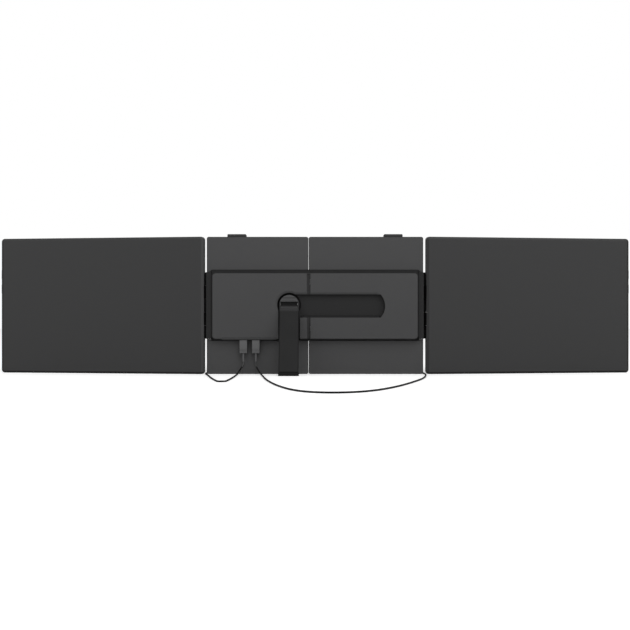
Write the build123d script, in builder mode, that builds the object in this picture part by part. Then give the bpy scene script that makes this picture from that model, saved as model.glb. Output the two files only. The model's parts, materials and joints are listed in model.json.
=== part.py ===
from build123d import *
import os
from math import cos, radians, sin, tan

# Dual portable monitor: two screens hinged to the sides of a frame that stands behind a
# laptop. The frame widens in the middle, hooks over the laptop's lid and has a kickstand.
# Millimetres. The origin is on the table, under the frame's plates. +X is to the right as
# seen from behind, +Y points to the user, +Z is up. "Depth" is distance behind the origin.

# Back plates
PLATE_HEIGHT = 205.0
PLATE_THICKNESS = 5.0
PLATE_CORNER = 3.0
PLATE_EDGE = 0.4
FRAME_X = 161.65
SPLIT_X = -9.7
SPLIT_GAP = 0.4
PLATE_BACK = PLATE_THICKNESS / 2
PLATE_FRONT = -PLATE_THICKNESS / 2

# Housing on the back of the plates, with sloped sides
HOUSE_X = 157.5
HOUSE_Z = (49.5, 156.0)
HOUSE_DEPTH = 12.0
SLOPE_SIDE = 5.0
SLOPE_BOTTOM = 3.0
SLOPE_TOP = 6.0
HOUSE_CORNER = 5.0
HOUSE_EDGE = 1.0
WALL = 2.0
GROOVE_TOP = 6.4
GROOVE_FLOOR = 2.2
GROOVE_DEPTH = 1.3
SEAM_OFFSET = 2.5
HOUSE_FACE = PLATE_BACK + HOUSE_DEPTH
GAP = 0.3

# Kickstand recess and turntable
TURN_X = -38.4
TURN_Z = 103.4
WELL_R = 17.6
BEVEL_WIDTH = 3.1
BEVEL_DEPTH = 1.5
TROUGH_Z = (84.3, 118.6)
TROUGH_X = 97.5
TROUGH_BULGE = 6.7
RAMP_HEIGHT = 3.6
DOWN_WIDTH = 32.2
RECESS_FLOOR = 7.0
TRAY_THICKNESS = 1.2
STANDOFF_PITCH = 23.0
STANDOFF_R = 2.2
DISC_R = 14.8
DISC_FACE = 13.7
DISC_BASE = 1.2
DISC_PAST = 5.2
SPIGOT_R = 5.9
POCKET_WIDTH = 24.7
POCKET_TOP = 4.3
CAP_THICKNESS = 0.9
CAP_SLOT_WIDTH = 19.6
CAP_SLOT_HEIGHT = 0.7
CAP_SLOT_DEPTH = 0.45
CAP_SLOT_RISE = 6.4
RUN_CLEARANCE = 0.06

# Leg, shown swung out from the housing
LEG_ANGLE = 26.0
PIVOT_RISE = 0.6
PIVOT_DEPTH = 11.0
PIVOT_R = 1.2
LEG_WIDTH = 29.0
LEG_THICKNESS = 4.4
LEG_TOP = 4.8
BEND_PLACE = 10.8
BEND_WIDTH = 0.6
BEND_DEPTH = 0.35
TONGUE_R = 2.4
TONGUE_THICKNESS = 3.2
FOOT_LENGTH = 6.0
FOOT_GROW = 0.5

# Screens
SCREEN_WIDTH = 319.4
SCREEN_CORNER = 5.0
SCREEN_THICKNESS = 9.0
COVER_DEPTH = 5.5
COVER_WALL = 1.0
COVER_BEVEL = 3.4
COVER_BEVEL_DEPTH = 1.1
BEZEL_SIDE = 8.9
BEZEL_TOP = 8.25
BEZEL_CHAMFER = 0.5
DISPLAY = (SCREEN_WIDTH - 2 * BEZEL_SIDE, PLATE_HEIGHT - 2 * BEZEL_TOP)
PANEL_MARGIN = 1.4
PANEL_THICKNESS = 1.2
BEZEL_LIP = 1.0
LIGHT_THICKNESS = 1.8
LIGHT_POCKET = 44.0
LIGHT_POCKET_END = 40.0
DRIVER_LENGTH = 140.0
DRIVER_HEIGHT = 30.0
DRIVER_RISE = 7.15
DRIVER_THICKNESS = 1.0
DRIVER_FOOT = 0.4
TOE_IN = 9.5
HINGE_X = 164.1
HINGE_Y = {-1: 9.0, 1: 14.0}
FLAT_FRONT_Y = 1.5
FLAT_GAP = {-1: 1.2, 1: 1.0}

# Hinges
HINGE_Z = (52.5, 152.4)
KNUCKLES = 5
KNUCKLE_R = 4.5
KNUCKLE_GAP = 0.35
PIN_R = 1.6
ARM_THICKNESS = 4.2
ARM_INSET = 0.3
BRACKET_X = 154.6
BRACKET_BACK = 9.5
BRACKET_SPACE = 0.6
BRACKET_ROUND = 2.0
TAB_LENGTH = 11.0
TAB_HEIGHT = 40.0
TAB_THICKNESS = 1.6
LEAF_WIDTH = 36.0
LEAF_THICKNESS = 1.5

# Rails between the two halves
RAIL_Z = (68.0, 138.0)
RAIL_HEIGHT = 14.0
RAIL_THICKNESS = 3.0
RAIL_X = (-135.0, -20.0)
BAR_HEIGHT = 8.0
BAR_THICKNESS = 1.2
BAR_X = (-125.0, 128.0)
BAR_FOOT_X = 6.0
SLIDE_FIT = 0.15

# Hooks over the laptop's lid
HOOK_X = (102.8, 130.9)
HOOK_RISE = 4.0
HOOK_STRIP = 1.4
HOOK_SLOT_DEPTH = 75.0
HOOK_REACH = 13.5
HOOK_LIP = 2.0
HOOK_DROP = 9.3
HOOK_PAD = 0.8
HOOK_CORNER = 1.5

# Hub and its plugs
BAY_X = (-138.4, -57.6)
BAY_TOP = 54.6
LIP_TOP = 55.3
LIP_SLOPE = ((0.9, 52.8), (1.6, 51.0))
PLUG_X = (-106.6, -88.0)
PLUG_DEPTH = 8.8
PLUG_SIZE = (12.4, 6.5, 21.6)
PLUG_TOP = BAY_TOP - 1.7
SHELL_SIZE = (8.3, 2.5, 6.6)
PORT_WALL = 0.35
PORT_PLAY = 0.2
PORT_DEEP = 7.6
RELIEF_LENGTH = 12.3
RELIEF_R = 2.0
BOARD_X = (-142.5, -66.0)
BOARD_Z = (56.0, 126.0)
BOARD_THICKNESS = 1.0

# Screws that hold the covers, as outward X and Z on each half
SCREW_OUTER = 146.0
SCREW_Z = (68.0, 138.0)
SCREW_INNER = {-1: -17.5, 1: 6.0}
SCREW_INNER_Z = (TROUGH_Z[0] - 5.0, TROUGH_Z[1] + 7.4)
SCREW_R = 1.2
SCREW_HEAD_R = 2.4
SCREW_HEAD = 1.2
BOSS_R = 2.7

# Lid pads
PAD_THICKNESS = 1.0
PAD_Z = ((18.0, 48.0), (158.0, 188.0))
PAD_INNER = 10.0
PAD_OUTER = 16.0

# Keys on the outer edge of each screen
KEY_Z = {"power_key": 150.0, "menu_key": 128.0}
KEY_LENGTH = 13.0
KEY_THICKNESS = 2.0
KEY_PROUD = 0.6
KEY_FLANGE = 0.8
KEY_PLAY = 0.15

# Signal cables
CORD_D = 2.4
CORD_Z = CORD_D / 2
FREE_PLUG_X = 102.5
FREE_PLUG_Y = 10.0
FREE_RELIEF = 10.0
MIN_TURN = 0.45

# The short cable: down out of its plug, out in a narrow loop on the table, back to the gap
# beside the left screen and through it to the plug that waits in front of the frame.
LEFT_ROUTE = [
    (PLUG_X[0], -PLUG_DEPTH, PLUG_TOP - PLUG_SIZE[2] - RELIEF_LENGTH),
    (PLUG_X[0], -PLUG_DEPTH, 13.2),
    (-110.8, -13.4, 8.0),
    (-113.8, -23.0, 3.9),
    (-115.2, -40.0, 1.7),
    (-115.9, -66.0, CORD_Z),
    (-116.0, -100.0, CORD_Z),
    (-116.7, -138.0, CORD_Z),
    (-117.0, -168.0, CORD_Z),
    (-116.7, -191.0, CORD_Z),
    (-116.2, -208.5, CORD_Z),
    (-116.9, -218.3, CORD_Z),
    (-120.4, -221.8, CORD_Z),
    (-125.4, -221.7, CORD_Z),
    (-128.8, -218.0, CORD_Z),
    (-130.5, -208.5, CORD_Z),
    (-133.9, -191.8, CORD_Z),
    (-139.1, -163.5, CORD_Z),
    (-144.9, -128.5, CORD_Z),
    (-150.6, -89.0, CORD_Z),
    (-156.2, -52.5, CORD_Z),
    (-160.5, -26.0, CORD_Z),
    (-162.5, -11.0, CORD_Z),
    (-162.8, 5.0, CORD_Z),
    (-159.0, 14.2, CORD_Z),
    (-147.0, 14.6, CORD_Z),
    (-135.0, 11.9, 1.6),
    (-123.8, FREE_PLUG_Y, PLUG_SIZE[1] / 2),
    (-FREE_PLUG_X - FREE_RELIEF, FREE_PLUG_Y, PLUG_SIZE[1] / 2),
]

# The long cable: a wide loop on the table, round to the gap beside the right screen.
RIGHT_ROUTE = [
    (PLUG_X[1], -PLUG_DEPTH, PLUG_TOP - PLUG_SIZE[2] - RELIEF_LENGTH),
    (PLUG_X[1], -PLUG_DEPTH, 13.2),
    (-85.4, -13.4, 7.8),
    (-82.0, -23.0, 3.6),
    (-79.0, -40.0, 1.7),
    (-76.5, -62.0, CORD_Z),
    (-73.2, -97.0, CORD_Z),
    (-69.4, -143.0, CORD_Z),
    (-64.3, -191.0, CORD_Z),
    (-57.6, -243.4, CORD_Z),
    (-49.7, -296.7, CORD_Z),
    (-39.3, -351.0, CORD_Z),
    (-27.2, -399.3, CORD_Z),
    (-10.3, -436.5, CORD_Z),
    (16.2, -453.6, CORD_Z),
    (46.2, -442.5, CORD_Z),
    (69.2, -412.4, CORD_Z),
    (88.0, -369.1, CORD_Z),
    (104.6, -320.9, CORD_Z),
    (120.1, -265.6, CORD_Z),
    (134.1, -210.2, CORD_Z),
    (146.7, -157.0, CORD_Z),
    (154.9, -107.0, CORD_Z),
    (160.1, -63.0, CORD_Z),
    (162.3, -33.0, CORD_Z),
    (162.65, -17.0, CORD_Z),
    (162.6, -5.0, CORD_Z),
]

# Its tail goes with the right half of the frame.
RIGHT_TAIL = [
    (162.6, -5.0, CORD_Z),
    (162.6, 5.0, CORD_Z),
    (158.6, 14.3, CORD_Z),
    (146.4, 14.9, CORD_Z),
    (134.8, 11.9, 1.6),
    (123.6, FREE_PLUG_Y, PLUG_SIZE[1] / 2),
    (FREE_PLUG_X + FREE_RELIEF, FREE_PLUG_Y, PLUG_SIZE[1] / 2),
]

SIDE_NAMES = {-1: "left", 1: "right"}
PIVOT_Z = TURN_Z + PIVOT_RISE
HOUSE_SEAM = SPLIT_X + SEAM_OFFSET

os.makedirs("parts", exist_ok=True)


def save(piece, name):
    """Label a finished piece and write it under its own name."""
    piece.part.label = name
    export_step(piece.part, f"parts/{name}.step")


def behind(depth):
    """The upright plane a given depth behind the origin, drawn as seen from behind."""
    return Plane.XZ.offset(depth)


def block(x, depth, z, mode=Mode.ADD):
    """A box given by its ends in X, depth and Z, in the piece being made."""
    size = (x[1] - x[0], depth[1] - depth[0], z[1] - z[0])
    middle = ((x[0] + x[1]) / 2, -(depth[0] + depth[1]) / 2, (z[0] + z[1]) / 2)
    with Locations(middle):
        Box(*size, mode=mode)


def outward(side, near, far):
    """A span of X, given as distances out from the middle on one side."""
    return (near, far) if side > 0 else (-far, -near)


def panel(x, z, radius):
    """A rounded rectangle in the sketch being made."""
    with Locations(((x[0] + x[1]) / 2, (z[0] + z[1]) / 2)):
        RectangleRounded(x[1] - x[0], z[1] - z[0], radius)


def rod(x, z, radius, depth, mode=Mode.ADD):
    """A round bar along the depth direction, in the piece being made."""
    with BuildSketch(behind(depth[0])) as profile:
        with Locations((x, z)):
            Circle(radius)
    extrude(profile.sketch, amount=depth[1] - depth[0], mode=mode)


def post(x, y, radius, z, mode=Mode.ADD):
    """An upright round bar, in the piece being made."""
    with BuildSketch(Plane.XY.offset(z[0])) as profile:
        with Locations((x, y)):
            Circle(radius)
    extrude(profile.sketch, amount=z[1] - z[0], mode=mode)


def screw_places(side):
    """X and Z of the four screws that hold one cover."""
    outer = [(side * SCREW_OUTER, z) for z in SCREW_Z]
    return outer + [(SCREW_INNER[side], z) for z in SCREW_INNER_Z]


def knuckle_spans(moving):
    """Z spans of the hinge's fixed or moving knuckles."""
    pitch = (HINGE_Z[1] - HINGE_Z[0]) / KNUCKLES
    first = 1 if moving else 0
    spans = []
    for i in range(first, KNUCKLES, 2):
        low = HINGE_Z[0] + i * pitch
        spans.append((low + KNUCKLE_GAP / 2, low + pitch - KNUCKLE_GAP / 2))
    return spans


# Back plates


def plate_span(side):
    """X span of one back plate."""
    edge = SPLIT_X + side * SPLIT_GAP / 2
    return (-FRAME_X, edge) if side < 0 else (edge, FRAME_X)


def make_plate(side):
    """One half of the flat back frame, with the hook's slot and the hinge's notch."""
    notch = outward(side, BRACKET_X - GAP, FRAME_X + 1)
    hook = outward(side, HOOK_X[0] - GAP / 2, HOOK_X[1] + GAP / 2)
    with BuildPart() as plate:
        with BuildSketch(behind(PLATE_FRONT)):
            panel(plate_span(side), (0, PLATE_HEIGHT), PLATE_CORNER)
        extrude(amount=PLATE_THICKNESS)
        rims = plate.faces().filter_by(Axis.Y).edges()
        chamfer(rims, PLATE_EDGE)
        slot = HOOK_STRIP / 2 + SLIDE_FIT
        block(
            hook,
            (-slot, slot),
            (PLATE_HEIGHT - HOOK_SLOT_DEPTH, PLATE_HEIGHT + 1),
            Mode.SUBTRACT,
        )
        block(
            notch,
            (PLATE_FRONT - 1, PLATE_BACK + 1),
            (HINGE_Z[0] - GAP, HINGE_Z[1] + GAP),
            Mode.SUBTRACT,
        )
        for x, z in screw_places(side):
            rod(x, z, SCREW_R + 0.1, (PLATE_FRONT - 1, PLATE_BACK + 1), Mode.SUBTRACT)
            rod(
                x,
                z,
                SCREW_HEAD_R + 0.2,
                (PLATE_FRONT - 1, PLATE_FRONT + SCREW_HEAD + 0.2),
                Mode.SUBTRACT,
            )
        if side < 0:
            for x in (BOARD_X[0] + 5, BOARD_X[1] - 5):
                for z in (BOARD_Z[0] + 30, BOARD_Z[1] - 5):
                    rod(x, z, 2.0, (PLATE_BACK, board_depth()))
    save(plate, f"{SIDE_NAMES[side]}_plate")


def make_lid_pads(side):
    """Soft strips on the plate's front, where the laptop's lid leans."""
    near, far = sorted(abs(x) for x in plate_span(side))
    x = outward(side, near + PAD_INNER, far - PAD_OUTER)
    if side > 0:
        x = (SPLIT_X + PAD_INNER, x[1])
    with BuildPart() as pads:
        for z in PAD_Z:
            with BuildSketch(behind(PLATE_FRONT - PAD_THICKNESS)):
                panel(x, z, PLATE_CORNER)
            extrude(amount=PAD_THICKNESS)
        raised = pads.faces().sort_by(Axis.Y)[-len(PAD_Z) :]
        chamfer(raised.edges(), PAD_THICKNESS / 3)
    save(pads, f"{SIDE_NAMES[side]}_lid_pads")


# Housing


def house_block(inset, mode=Mode.ADD):
    """The housing's sloped body, or its hollow where it is drawn smaller by an inset."""
    x = HOUSE_X - inset
    low, high = HOUSE_Z[0] + inset, HOUSE_Z[1] - inset
    radius = HOUSE_CORNER - inset
    shoulder = HOUSE_FACE - inset - HOUSE_EDGE
    with BuildSketch(behind(PLATE_BACK)) as base:
        panel((-x, x), (low, high), radius)
    with BuildSketch(behind(shoulder)) as top:
        panel(
            (-x + SLOPE_SIDE, x - SLOPE_SIDE),
            (low + SLOPE_BOTTOM, high - SLOPE_TOP),
            radius,
        )
    with BuildSketch(behind(shoulder + HOUSE_EDGE)) as face:
        panel(
            (-x + SLOPE_SIDE + HOUSE_EDGE, x - SLOPE_SIDE - HOUSE_EDGE),
            (low + SLOPE_BOTTOM + HOUSE_EDGE, high - SLOPE_TOP - HOUSE_EDGE),
            radius - HOUSE_EDGE,
        )
    loft([base.sketch, top.sketch, face.sketch], ruled=True, mode=mode)


def recess(grow):
    """The outline of the kickstand's recess, drawn larger all round by a wall."""
    low, high = TROUGH_Z[0] - grow, TROUGH_Z[1] + grow
    middle = (low + high) / 2
    with Locations((TURN_X, TURN_Z)):
        Circle(WELL_R + grow)
    with BuildLine() as outline:
        Polyline((TROUGH_X, high), (TURN_X, high), (TURN_X, low), (TROUGH_X, low))
        ThreePointArc(
            (TROUGH_X, low), (TROUGH_X + TROUGH_BULGE + grow, middle), (TROUGH_X, high)
        )
    make_face(outline.edges())


def down_branch(grow, bottom):
    """The branch of the recess under the turntable, behind the leg."""
    half = DOWN_WIDTH / 2 + grow
    with Locations((TURN_X, (bottom + TURN_Z) / 2)):
        Rectangle(2 * half, TURN_Z - bottom)


def bevel_wedge(x, share):
    """The section of the bevel above the recess at one X, drawn at a share of its size."""
    past = 0.5
    steep = BEVEL_WIDTH / BEVEL_DEPTH
    top = HOUSE_FACE + past
    reach = (BEVEL_DEPTH + 2 * past) * share
    low = TROUGH_Z[1] - past * steep * share
    with BuildSketch(Plane.YZ.offset(x)) as wedge:
        with BuildLine() as outline:
            Polyline((-top + reach, low), (-top, low), (-top, low + reach * steep), close=True)
        make_face(outline.edges())
    return wedge.sketch


def cut_recess_edge():
    """The bevel round the well and along the recess's upper edge."""
    past = 0.5
    steep = BEVEL_WIDTH / BEVEL_DEPTH
    with BuildSketch(behind(HOUSE_FACE - BEVEL_DEPTH - past)) as inner:
        with Locations((TURN_X, TURN_Z)):
            Circle(WELL_R - past * steep)
    with BuildSketch(behind(HOUSE_FACE + past)) as outer:
        with Locations((TURN_X, TURN_Z)):
            Circle(WELL_R + BEVEL_WIDTH + past * steep)
    loft([inner.sketch, outer.sketch], ruled=True, mode=Mode.SUBTRACT)
    fade = TROUGH_X - 2 * BEVEL_WIDTH
    extrude(bevel_wedge(TURN_X, 1.0), amount=fade - TURN_X, mode=Mode.SUBTRACT)
    loft([bevel_wedge(fade, 1.0), bevel_wedge(TROUGH_X, 0.45)], ruled=True, mode=Mode.SUBTRACT)


def cut_groove():
    """The shallow groove down the housing's face, in which the two halves meet."""
    past = 0.5
    flare = (GROOVE_TOP - GROOVE_FLOOR) / 2 / GROOVE_DEPTH
    floor = -(HOUSE_FACE - GROOVE_DEPTH)
    top = -(HOUSE_FACE + past)
    half = GROOVE_TOP / 2 + past * flare
    low = HOUSE_Z[0] + SLOPE_BOTTOM + HOUSE_EDGE
    high = HOUSE_Z[1] - SLOPE_TOP - HOUSE_EDGE
    with BuildSketch(Plane.XY.offset(low)) as profile:
        with BuildLine() as outline:
            Polyline(
                (SPLIT_X - GROOVE_FLOOR / 2, floor),
                (SPLIT_X + GROOVE_FLOOR / 2, floor),
                (SPLIT_X + half, top),
                (SPLIT_X - half, top),
                close=True,
            )
        make_face(outline.edges())
    extrude(profile.sketch, amount=high - low, mode=Mode.SUBTRACT)


def cut_bay():
    """The opening for the plugs, with the face's lower edge turned in over them."""
    inside = HOUSE_FACE - WALL
    block(BAY_X, (PLATE_BACK + 1.5, inside), (0, BAY_TOP), Mode.SUBTRACT)
    block(BAY_X, (inside - 1, HOUSE_FACE + 1), (0, LIP_TOP), Mode.SUBTRACT)
    seat = LIP_TOP + 0.2
    slope = [(inset - HOUSE_FACE, z) for inset, z in LIP_SLOPE]
    with BuildSketch(Plane.YZ.offset(BAY_X[0])) as lip:
        with BuildLine() as outline:
            Polyline(
                (-inside, seat), (-HOUSE_FACE, seat), (-HOUSE_FACE, LIP_TOP),
                *slope, (-inside, slope[-1][1]), close=True,
            )
        make_face(outline.edges())
    extrude(lip.sketch, amount=BAY_X[1] - BAY_X[0])


def cut_sockets():
    """The room in the bay's roof for the two sockets."""
    room = SHELL_SIZE[0] / 2 + PORT_PLAY + PORT_WALL + 1
    block(
        (PLUG_X[0] - room, PLUG_X[1] + room),
        (PLUG_DEPTH - 2.4, PLUG_DEPTH + 2.4),
        (BAY_TOP - 1, BAY_TOP + PORT_DEEP),
        Mode.SUBTRACT,
    )


def make_cover(side):
    """One half of the housing: a thin sloped shell, open to the kickstand's recess."""
    seam = HOUSE_SEAM + side * SPLIT_GAP / 2
    other = (seam, HOUSE_X + 1) if side < 0 else (-HOUSE_X - 1, seam)
    through = (PLATE_BACK - 5, HOUSE_FACE + 5)
    with BuildPart() as cover:
        house_block(0)
        house_block(WALL, Mode.SUBTRACT)
        for x, z in screw_places(side):
            rod(x, z, BOSS_R, (PLATE_BACK, HOUSE_FACE - WALL / 2))
            rod(x, z, SCREW_R, (PLATE_BACK - 1, PLATE_BACK + 6), Mode.SUBTRACT)
        block(other, through, (0, PLATE_HEIGHT), Mode.SUBTRACT)
        with BuildSketch(behind(HOUSE_FACE + 1)):
            recess(0)
            down_branch(0, HOUSE_Z[0] - 5)
        extrude(amount=-(HOUSE_FACE + 1 - RECESS_FLOOR + 0.5), mode=Mode.SUBTRACT)
        cut_recess_edge()
        cut_groove()
        block(
            outward(side, BRACKET_X - GAP, HOUSE_X + 1),
            (PLATE_BACK - 1, BRACKET_BACK + GAP),
            (HINGE_Z[0] - GAP, HINGE_Z[1] + GAP),
            Mode.SUBTRACT,
        )
        if side < 0:
            over_right = (SPLIT_X - SPLIT_GAP / 2, HOUSE_SEAM)
            block(over_right, (PLATE_BACK - 1, PLATE_BACK + GAP), (0, PLATE_HEIGHT), Mode.SUBTRACT)
            cut_bay()
            cut_sockets()
    save(cover, f"{SIDE_NAMES[side]}_cover")


def make_stow_tray():
    """The fixed trough behind the covers' opening, where the leg is put away."""
    under = RECESS_FLOOR - TRAY_THICKNESS
    rim = HOUSE_FACE - WALL - GAP
    bottom = HOUSE_Z[0] + SLOPE_BOTTOM + HOUSE_EDGE + WALL + GAP
    with BuildPart() as tray:
        with BuildSketch(behind(under)):
            recess(TRAY_THICKNESS)
            down_branch(TRAY_THICKNESS, bottom)
        extrude(amount=rim - under)
        with BuildSketch(behind(RECESS_FLOOR)):
            recess(0)
            down_branch(0, bottom - 5)
        extrude(amount=rim - RECESS_FLOOR + 1, mode=Mode.SUBTRACT)
        ramp_x = (TURN_X + DOWN_WIDTH / 2 + 3, TROUGH_X - 2)
        with BuildSketch(Plane.YZ.offset(ramp_x[0])):
            with BuildLine():
                Polyline(
                    (-RECESS_FLOOR, TROUGH_Z[0]),
                    (-rim, TROUGH_Z[0]),
                    (-rim, TROUGH_Z[0] + 0.4),
                    (-RECESS_FLOOR, TROUGH_Z[0] + RAMP_HEIGHT),
                    close=True,
                )
            make_face()
        extrude(amount=ramp_x[1] - ramp_x[0])
        for dx in (-STANDOFF_PITCH / 2, STANDOFF_PITCH / 2):
            for dz in (-STANDOFF_PITCH / 2, STANDOFF_PITCH / 2):
                rod(TURN_X + dx, TURN_Z + dz, STANDOFF_R, (PLATE_BACK, under))
        rod(TURN_X, TURN_Z, SPIGOT_R + RUN_CLEARANCE, (under - 1, RECESS_FLOOR + 1), Mode.SUBTRACT)
    save(tray, "stow_tray")


def make_cover_screws(side):
    """The screws that hold one cover to its plate."""
    head = PLATE_FRONT + 0.15
    with BuildPart() as screws:
        for x, z in screw_places(side):
            rod(x, z, SCREW_HEAD_R, (head, head + SCREW_HEAD))
            rod(x, z, SCREW_R - RUN_CLEARANCE, (head + SCREW_HEAD, PLATE_BACK + 5))
            with BuildSketch(behind(head)):
                with Locations((x, z)):
                    RegularPolygon(SCREW_R, 6)
            extrude(amount=SCREW_HEAD / 2, mode=Mode.SUBTRACT)
    save(screws, f"{SIDE_NAMES[side]}_cover_screws")


# Rails


def rail_depth():
    """Depth span of a fixed rail."""
    return PLATE_BACK, PLATE_BACK + RAIL_THICKNESS


def make_fixed_rail(name, z):
    """A channel on the left plate in which a bar of the right half slides."""
    near, far = rail_depth()
    middle = (near + far) / 2
    half = BAR_THICKNESS / 2 + SLIDE_FIT
    with BuildPart() as rail:
        block(RAIL_X, (near, far), (z - RAIL_HEIGHT / 2, z + RAIL_HEIGHT / 2))
        chamfer(rail.edges().filter_by(Axis.X), 0.4)
        slot = (z - BAR_HEIGHT / 2 - SLIDE_FIT, z + BAR_HEIGHT / 2 + SLIDE_FIT)
        block(
            (RAIL_X[0] - 1, RAIL_X[1] + 1), (middle - half, middle + half), slot, Mode.SUBTRACT
        )
        window = (RAIL_X[0] + 12, RAIL_X[1] - 12)
        block(window, (middle, far + 1), (z - 2.5, z + 2.5), Mode.SUBTRACT)
    save(rail, f"{name}_fixed_rail")


def make_moving_rail(name, z):
    """A flat bar on the right plate that slides in the channel."""
    near, far = rail_depth()
    middle = (near + far) / 2
    flat = (middle - BAR_THICKNESS / 2, middle + BAR_THICKNESS / 2)
    with BuildPart() as rail:
        block(BAR_X, flat, (z - BAR_HEIGHT / 2, z + BAR_HEIGHT / 2))
        block(
            (BAR_FOOT_X, BAR_X[1]),
            (near, flat[1]),
            (z - BAR_HEIGHT / 2, z + BAR_HEIGHT / 2),
        )
        chamfer(rail.faces().sort_by(Axis.X)[0].edges().filter_by(Axis.Y), 1.5)
    save(rail, f"{name}_moving_rail")


# Hinges


def pin_hole(side, mode, radius):
    """The hinge pin's bar or hole on one side."""
    end = 0.4
    span = (HINGE_Z[0] + end, HINGE_Z[1] - end) if mode == Mode.ADD else (0, PLATE_HEIGHT)
    post(side * HINGE_X, HINGE_Y[side], radius, span, mode)


def make_bracket(side):
    """The hinge's fixed half: a rounded band from the housing to knuckles at the front."""
    reach = FRAME_X + FLAT_GAP[side] - BRACKET_SPACE
    axis = (side * HINGE_X, HINGE_Y[side])
    with BuildPart() as bracket:
        block(outward(side, BRACKET_X, reach), (-HINGE_Y[side], BRACKET_BACK), HINGE_Z)
        upright = bracket.edges().filter_by(Axis.Z).sort_by(Axis.Y)[:2]
        fillet(upright.sort_by(Axis.X)[-1 if side > 0 else 0], BRACKET_ROUND)
        ends = bracket.faces().sort_by(Axis.Y)[0].edges().filter_by(Axis.X)
        chamfer(ends, 1.0)
        middle = (HINGE_Z[0] + HINGE_Z[1]) / 2
        block(
            outward(side, BRACKET_X - TAB_LENGTH, BRACKET_X + 1),
            (PLATE_BACK, PLATE_BACK + TAB_THICKNESS),
            (middle - TAB_HEIGHT / 2, middle + TAB_HEIGHT / 2),
        )
        for low, high in knuckle_spans(moving=False):
            post(*axis, KNUCKLE_R, (low, high))
        for low, high in knuckle_spans(moving=True):
            span = (low - KNUCKLE_GAP, high + KNUCKLE_GAP)
            post(*axis, KNUCKLE_R + 0.5, span, Mode.SUBTRACT)
        pin_hole(side, Mode.SUBTRACT, PIN_R + RUN_CLEARANCE)
    save(bracket, f"{SIDE_NAMES[side]}_hinge_bracket")


def make_pin(side):
    """The steel pin through one hinge."""
    with BuildPart() as pin:
        pin_hole(side, Mode.ADD, PIN_R)
        chamfer(pin.edges().filter_by(GeomType.CIRCLE), 0.3)
    save(pin, f"{SIDE_NAMES[side]}_hinge_pin")


# Screens. Each is drawn on a plane turned in by its rest angle, with its own X along the
# screen and its own depth counted from the hinge's axis.


def screen_plane(side, depth):
    """The plane a given depth behind the hinge's axis, along the toed-in screen."""
    turn = radians(TOE_IN)
    normal = Vector(side * sin(turn), -cos(turn), 0)
    along = Vector(cos(turn), side * sin(turn), 0)
    axis = Vector(side * HINGE_X, HINGE_Y[side], 0)
    return Plane(origin=axis + normal * depth, x_dir=along, z_dir=normal)


def screen_front(side):
    """Depth of the screen's front face behind the hinge's axis."""
    return HINGE_Y[side] - FLAT_FRONT_Y


def inner_edge(side):
    """The screen's inner edge as a distance out from the hinge's axis."""
    return FRAME_X + FLAT_GAP[side] - HINGE_X


def screen_block(side, out, depth, z, mode=Mode.ADD):
    """A box in the screen's own directions; out is distance out from the hinge's axis."""
    x = outward(side, *out)
    with BuildSketch(screen_plane(side, depth[0])) as profile:
        with Locations(((x[0] + x[1]) / 2, (z[0] + z[1]) / 2)):
            Rectangle(x[1] - x[0], z[1] - z[0])
    extrude(profile.sketch, amount=depth[1] - depth[0], mode=mode)


def screen_panel(side, depth, size, radius, mode=Mode.ADD):
    """A rounded panel centred on the screen, from one depth to another."""
    middle = (side * (inner_edge(side) + SCREEN_WIDTH / 2), PLATE_HEIGHT / 2)
    with BuildSketch(screen_plane(side, depth[0])) as profile:
        with Locations(middle):
            RectangleRounded(*size, radius)
    extrude(profile.sketch, amount=depth[1] - depth[0], mode=mode)


def screen_bevel(side, depth, size, radius):
    """The sloped edge of a rounded panel, from its outline to its smaller back face."""
    middle = (side * (inner_edge(side) + SCREEN_WIDTH / 2), PLATE_HEIGHT / 2)
    smaller = (size[0] - 2 * COVER_BEVEL, size[1] - 2 * COVER_BEVEL)
    with BuildSketch(screen_plane(side, depth[0])) as base:
        with Locations(middle):
            RectangleRounded(*size, radius)
    with BuildSketch(screen_plane(side, depth[1])) as top:
        with Locations(middle):
            RectangleRounded(*smaller, radius - COVER_BEVEL)
    loft([base.sketch, top.sketch], ruled=True)


def arm_span(side):
    """Where the hinge's arm runs along the screen's inner edge."""
    near = inner_edge(side) + ARM_INSET
    return near, near + ARM_THICKNESS


def cut_arm_ways(side, depth):
    """Notches in the screen's inner edge for the hinge's arms."""
    near, far = arm_span(side)
    for low, high in knuckle_spans(moving=True):
        z = (low - GAP, high + GAP)
        screen_block(side, (near - 3, far + GAP), depth, z, Mode.SUBTRACT)


def cover_start(side):
    """Depth at which the rear cover meets the bezel."""
    return screen_front(side) + SCREEN_THICKNESS - COVER_DEPTH


def make_rear_cover(side):
    """The screen's grey back: a shallow tray with a chamfered edge."""
    start = cover_start(side)
    back = start + COVER_DEPTH
    size = (SCREEN_WIDTH, PLATE_HEIGHT)
    hollow = (SCREEN_WIDTH - 2 * WALL, PLATE_HEIGHT - 2 * WALL)
    with BuildPart() as cover:
        screen_panel(side, (start, back - COVER_BEVEL_DEPTH), size, SCREEN_CORNER)
        screen_bevel(side, (back - COVER_BEVEL_DEPTH, back), size, SCREEN_CORNER)
        screen_panel(side, (start - 1, back - COVER_WALL), hollow, SCREEN_CORNER - WALL, Mode.SUBTRACT)
        cut_arm_ways(side, (start - 1, back - COVER_WALL))
        for z in KEY_Z.values():
            cut_key_way(side, z)
    save(cover, f"{SIDE_NAMES[side]}_rear_cover")


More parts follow.
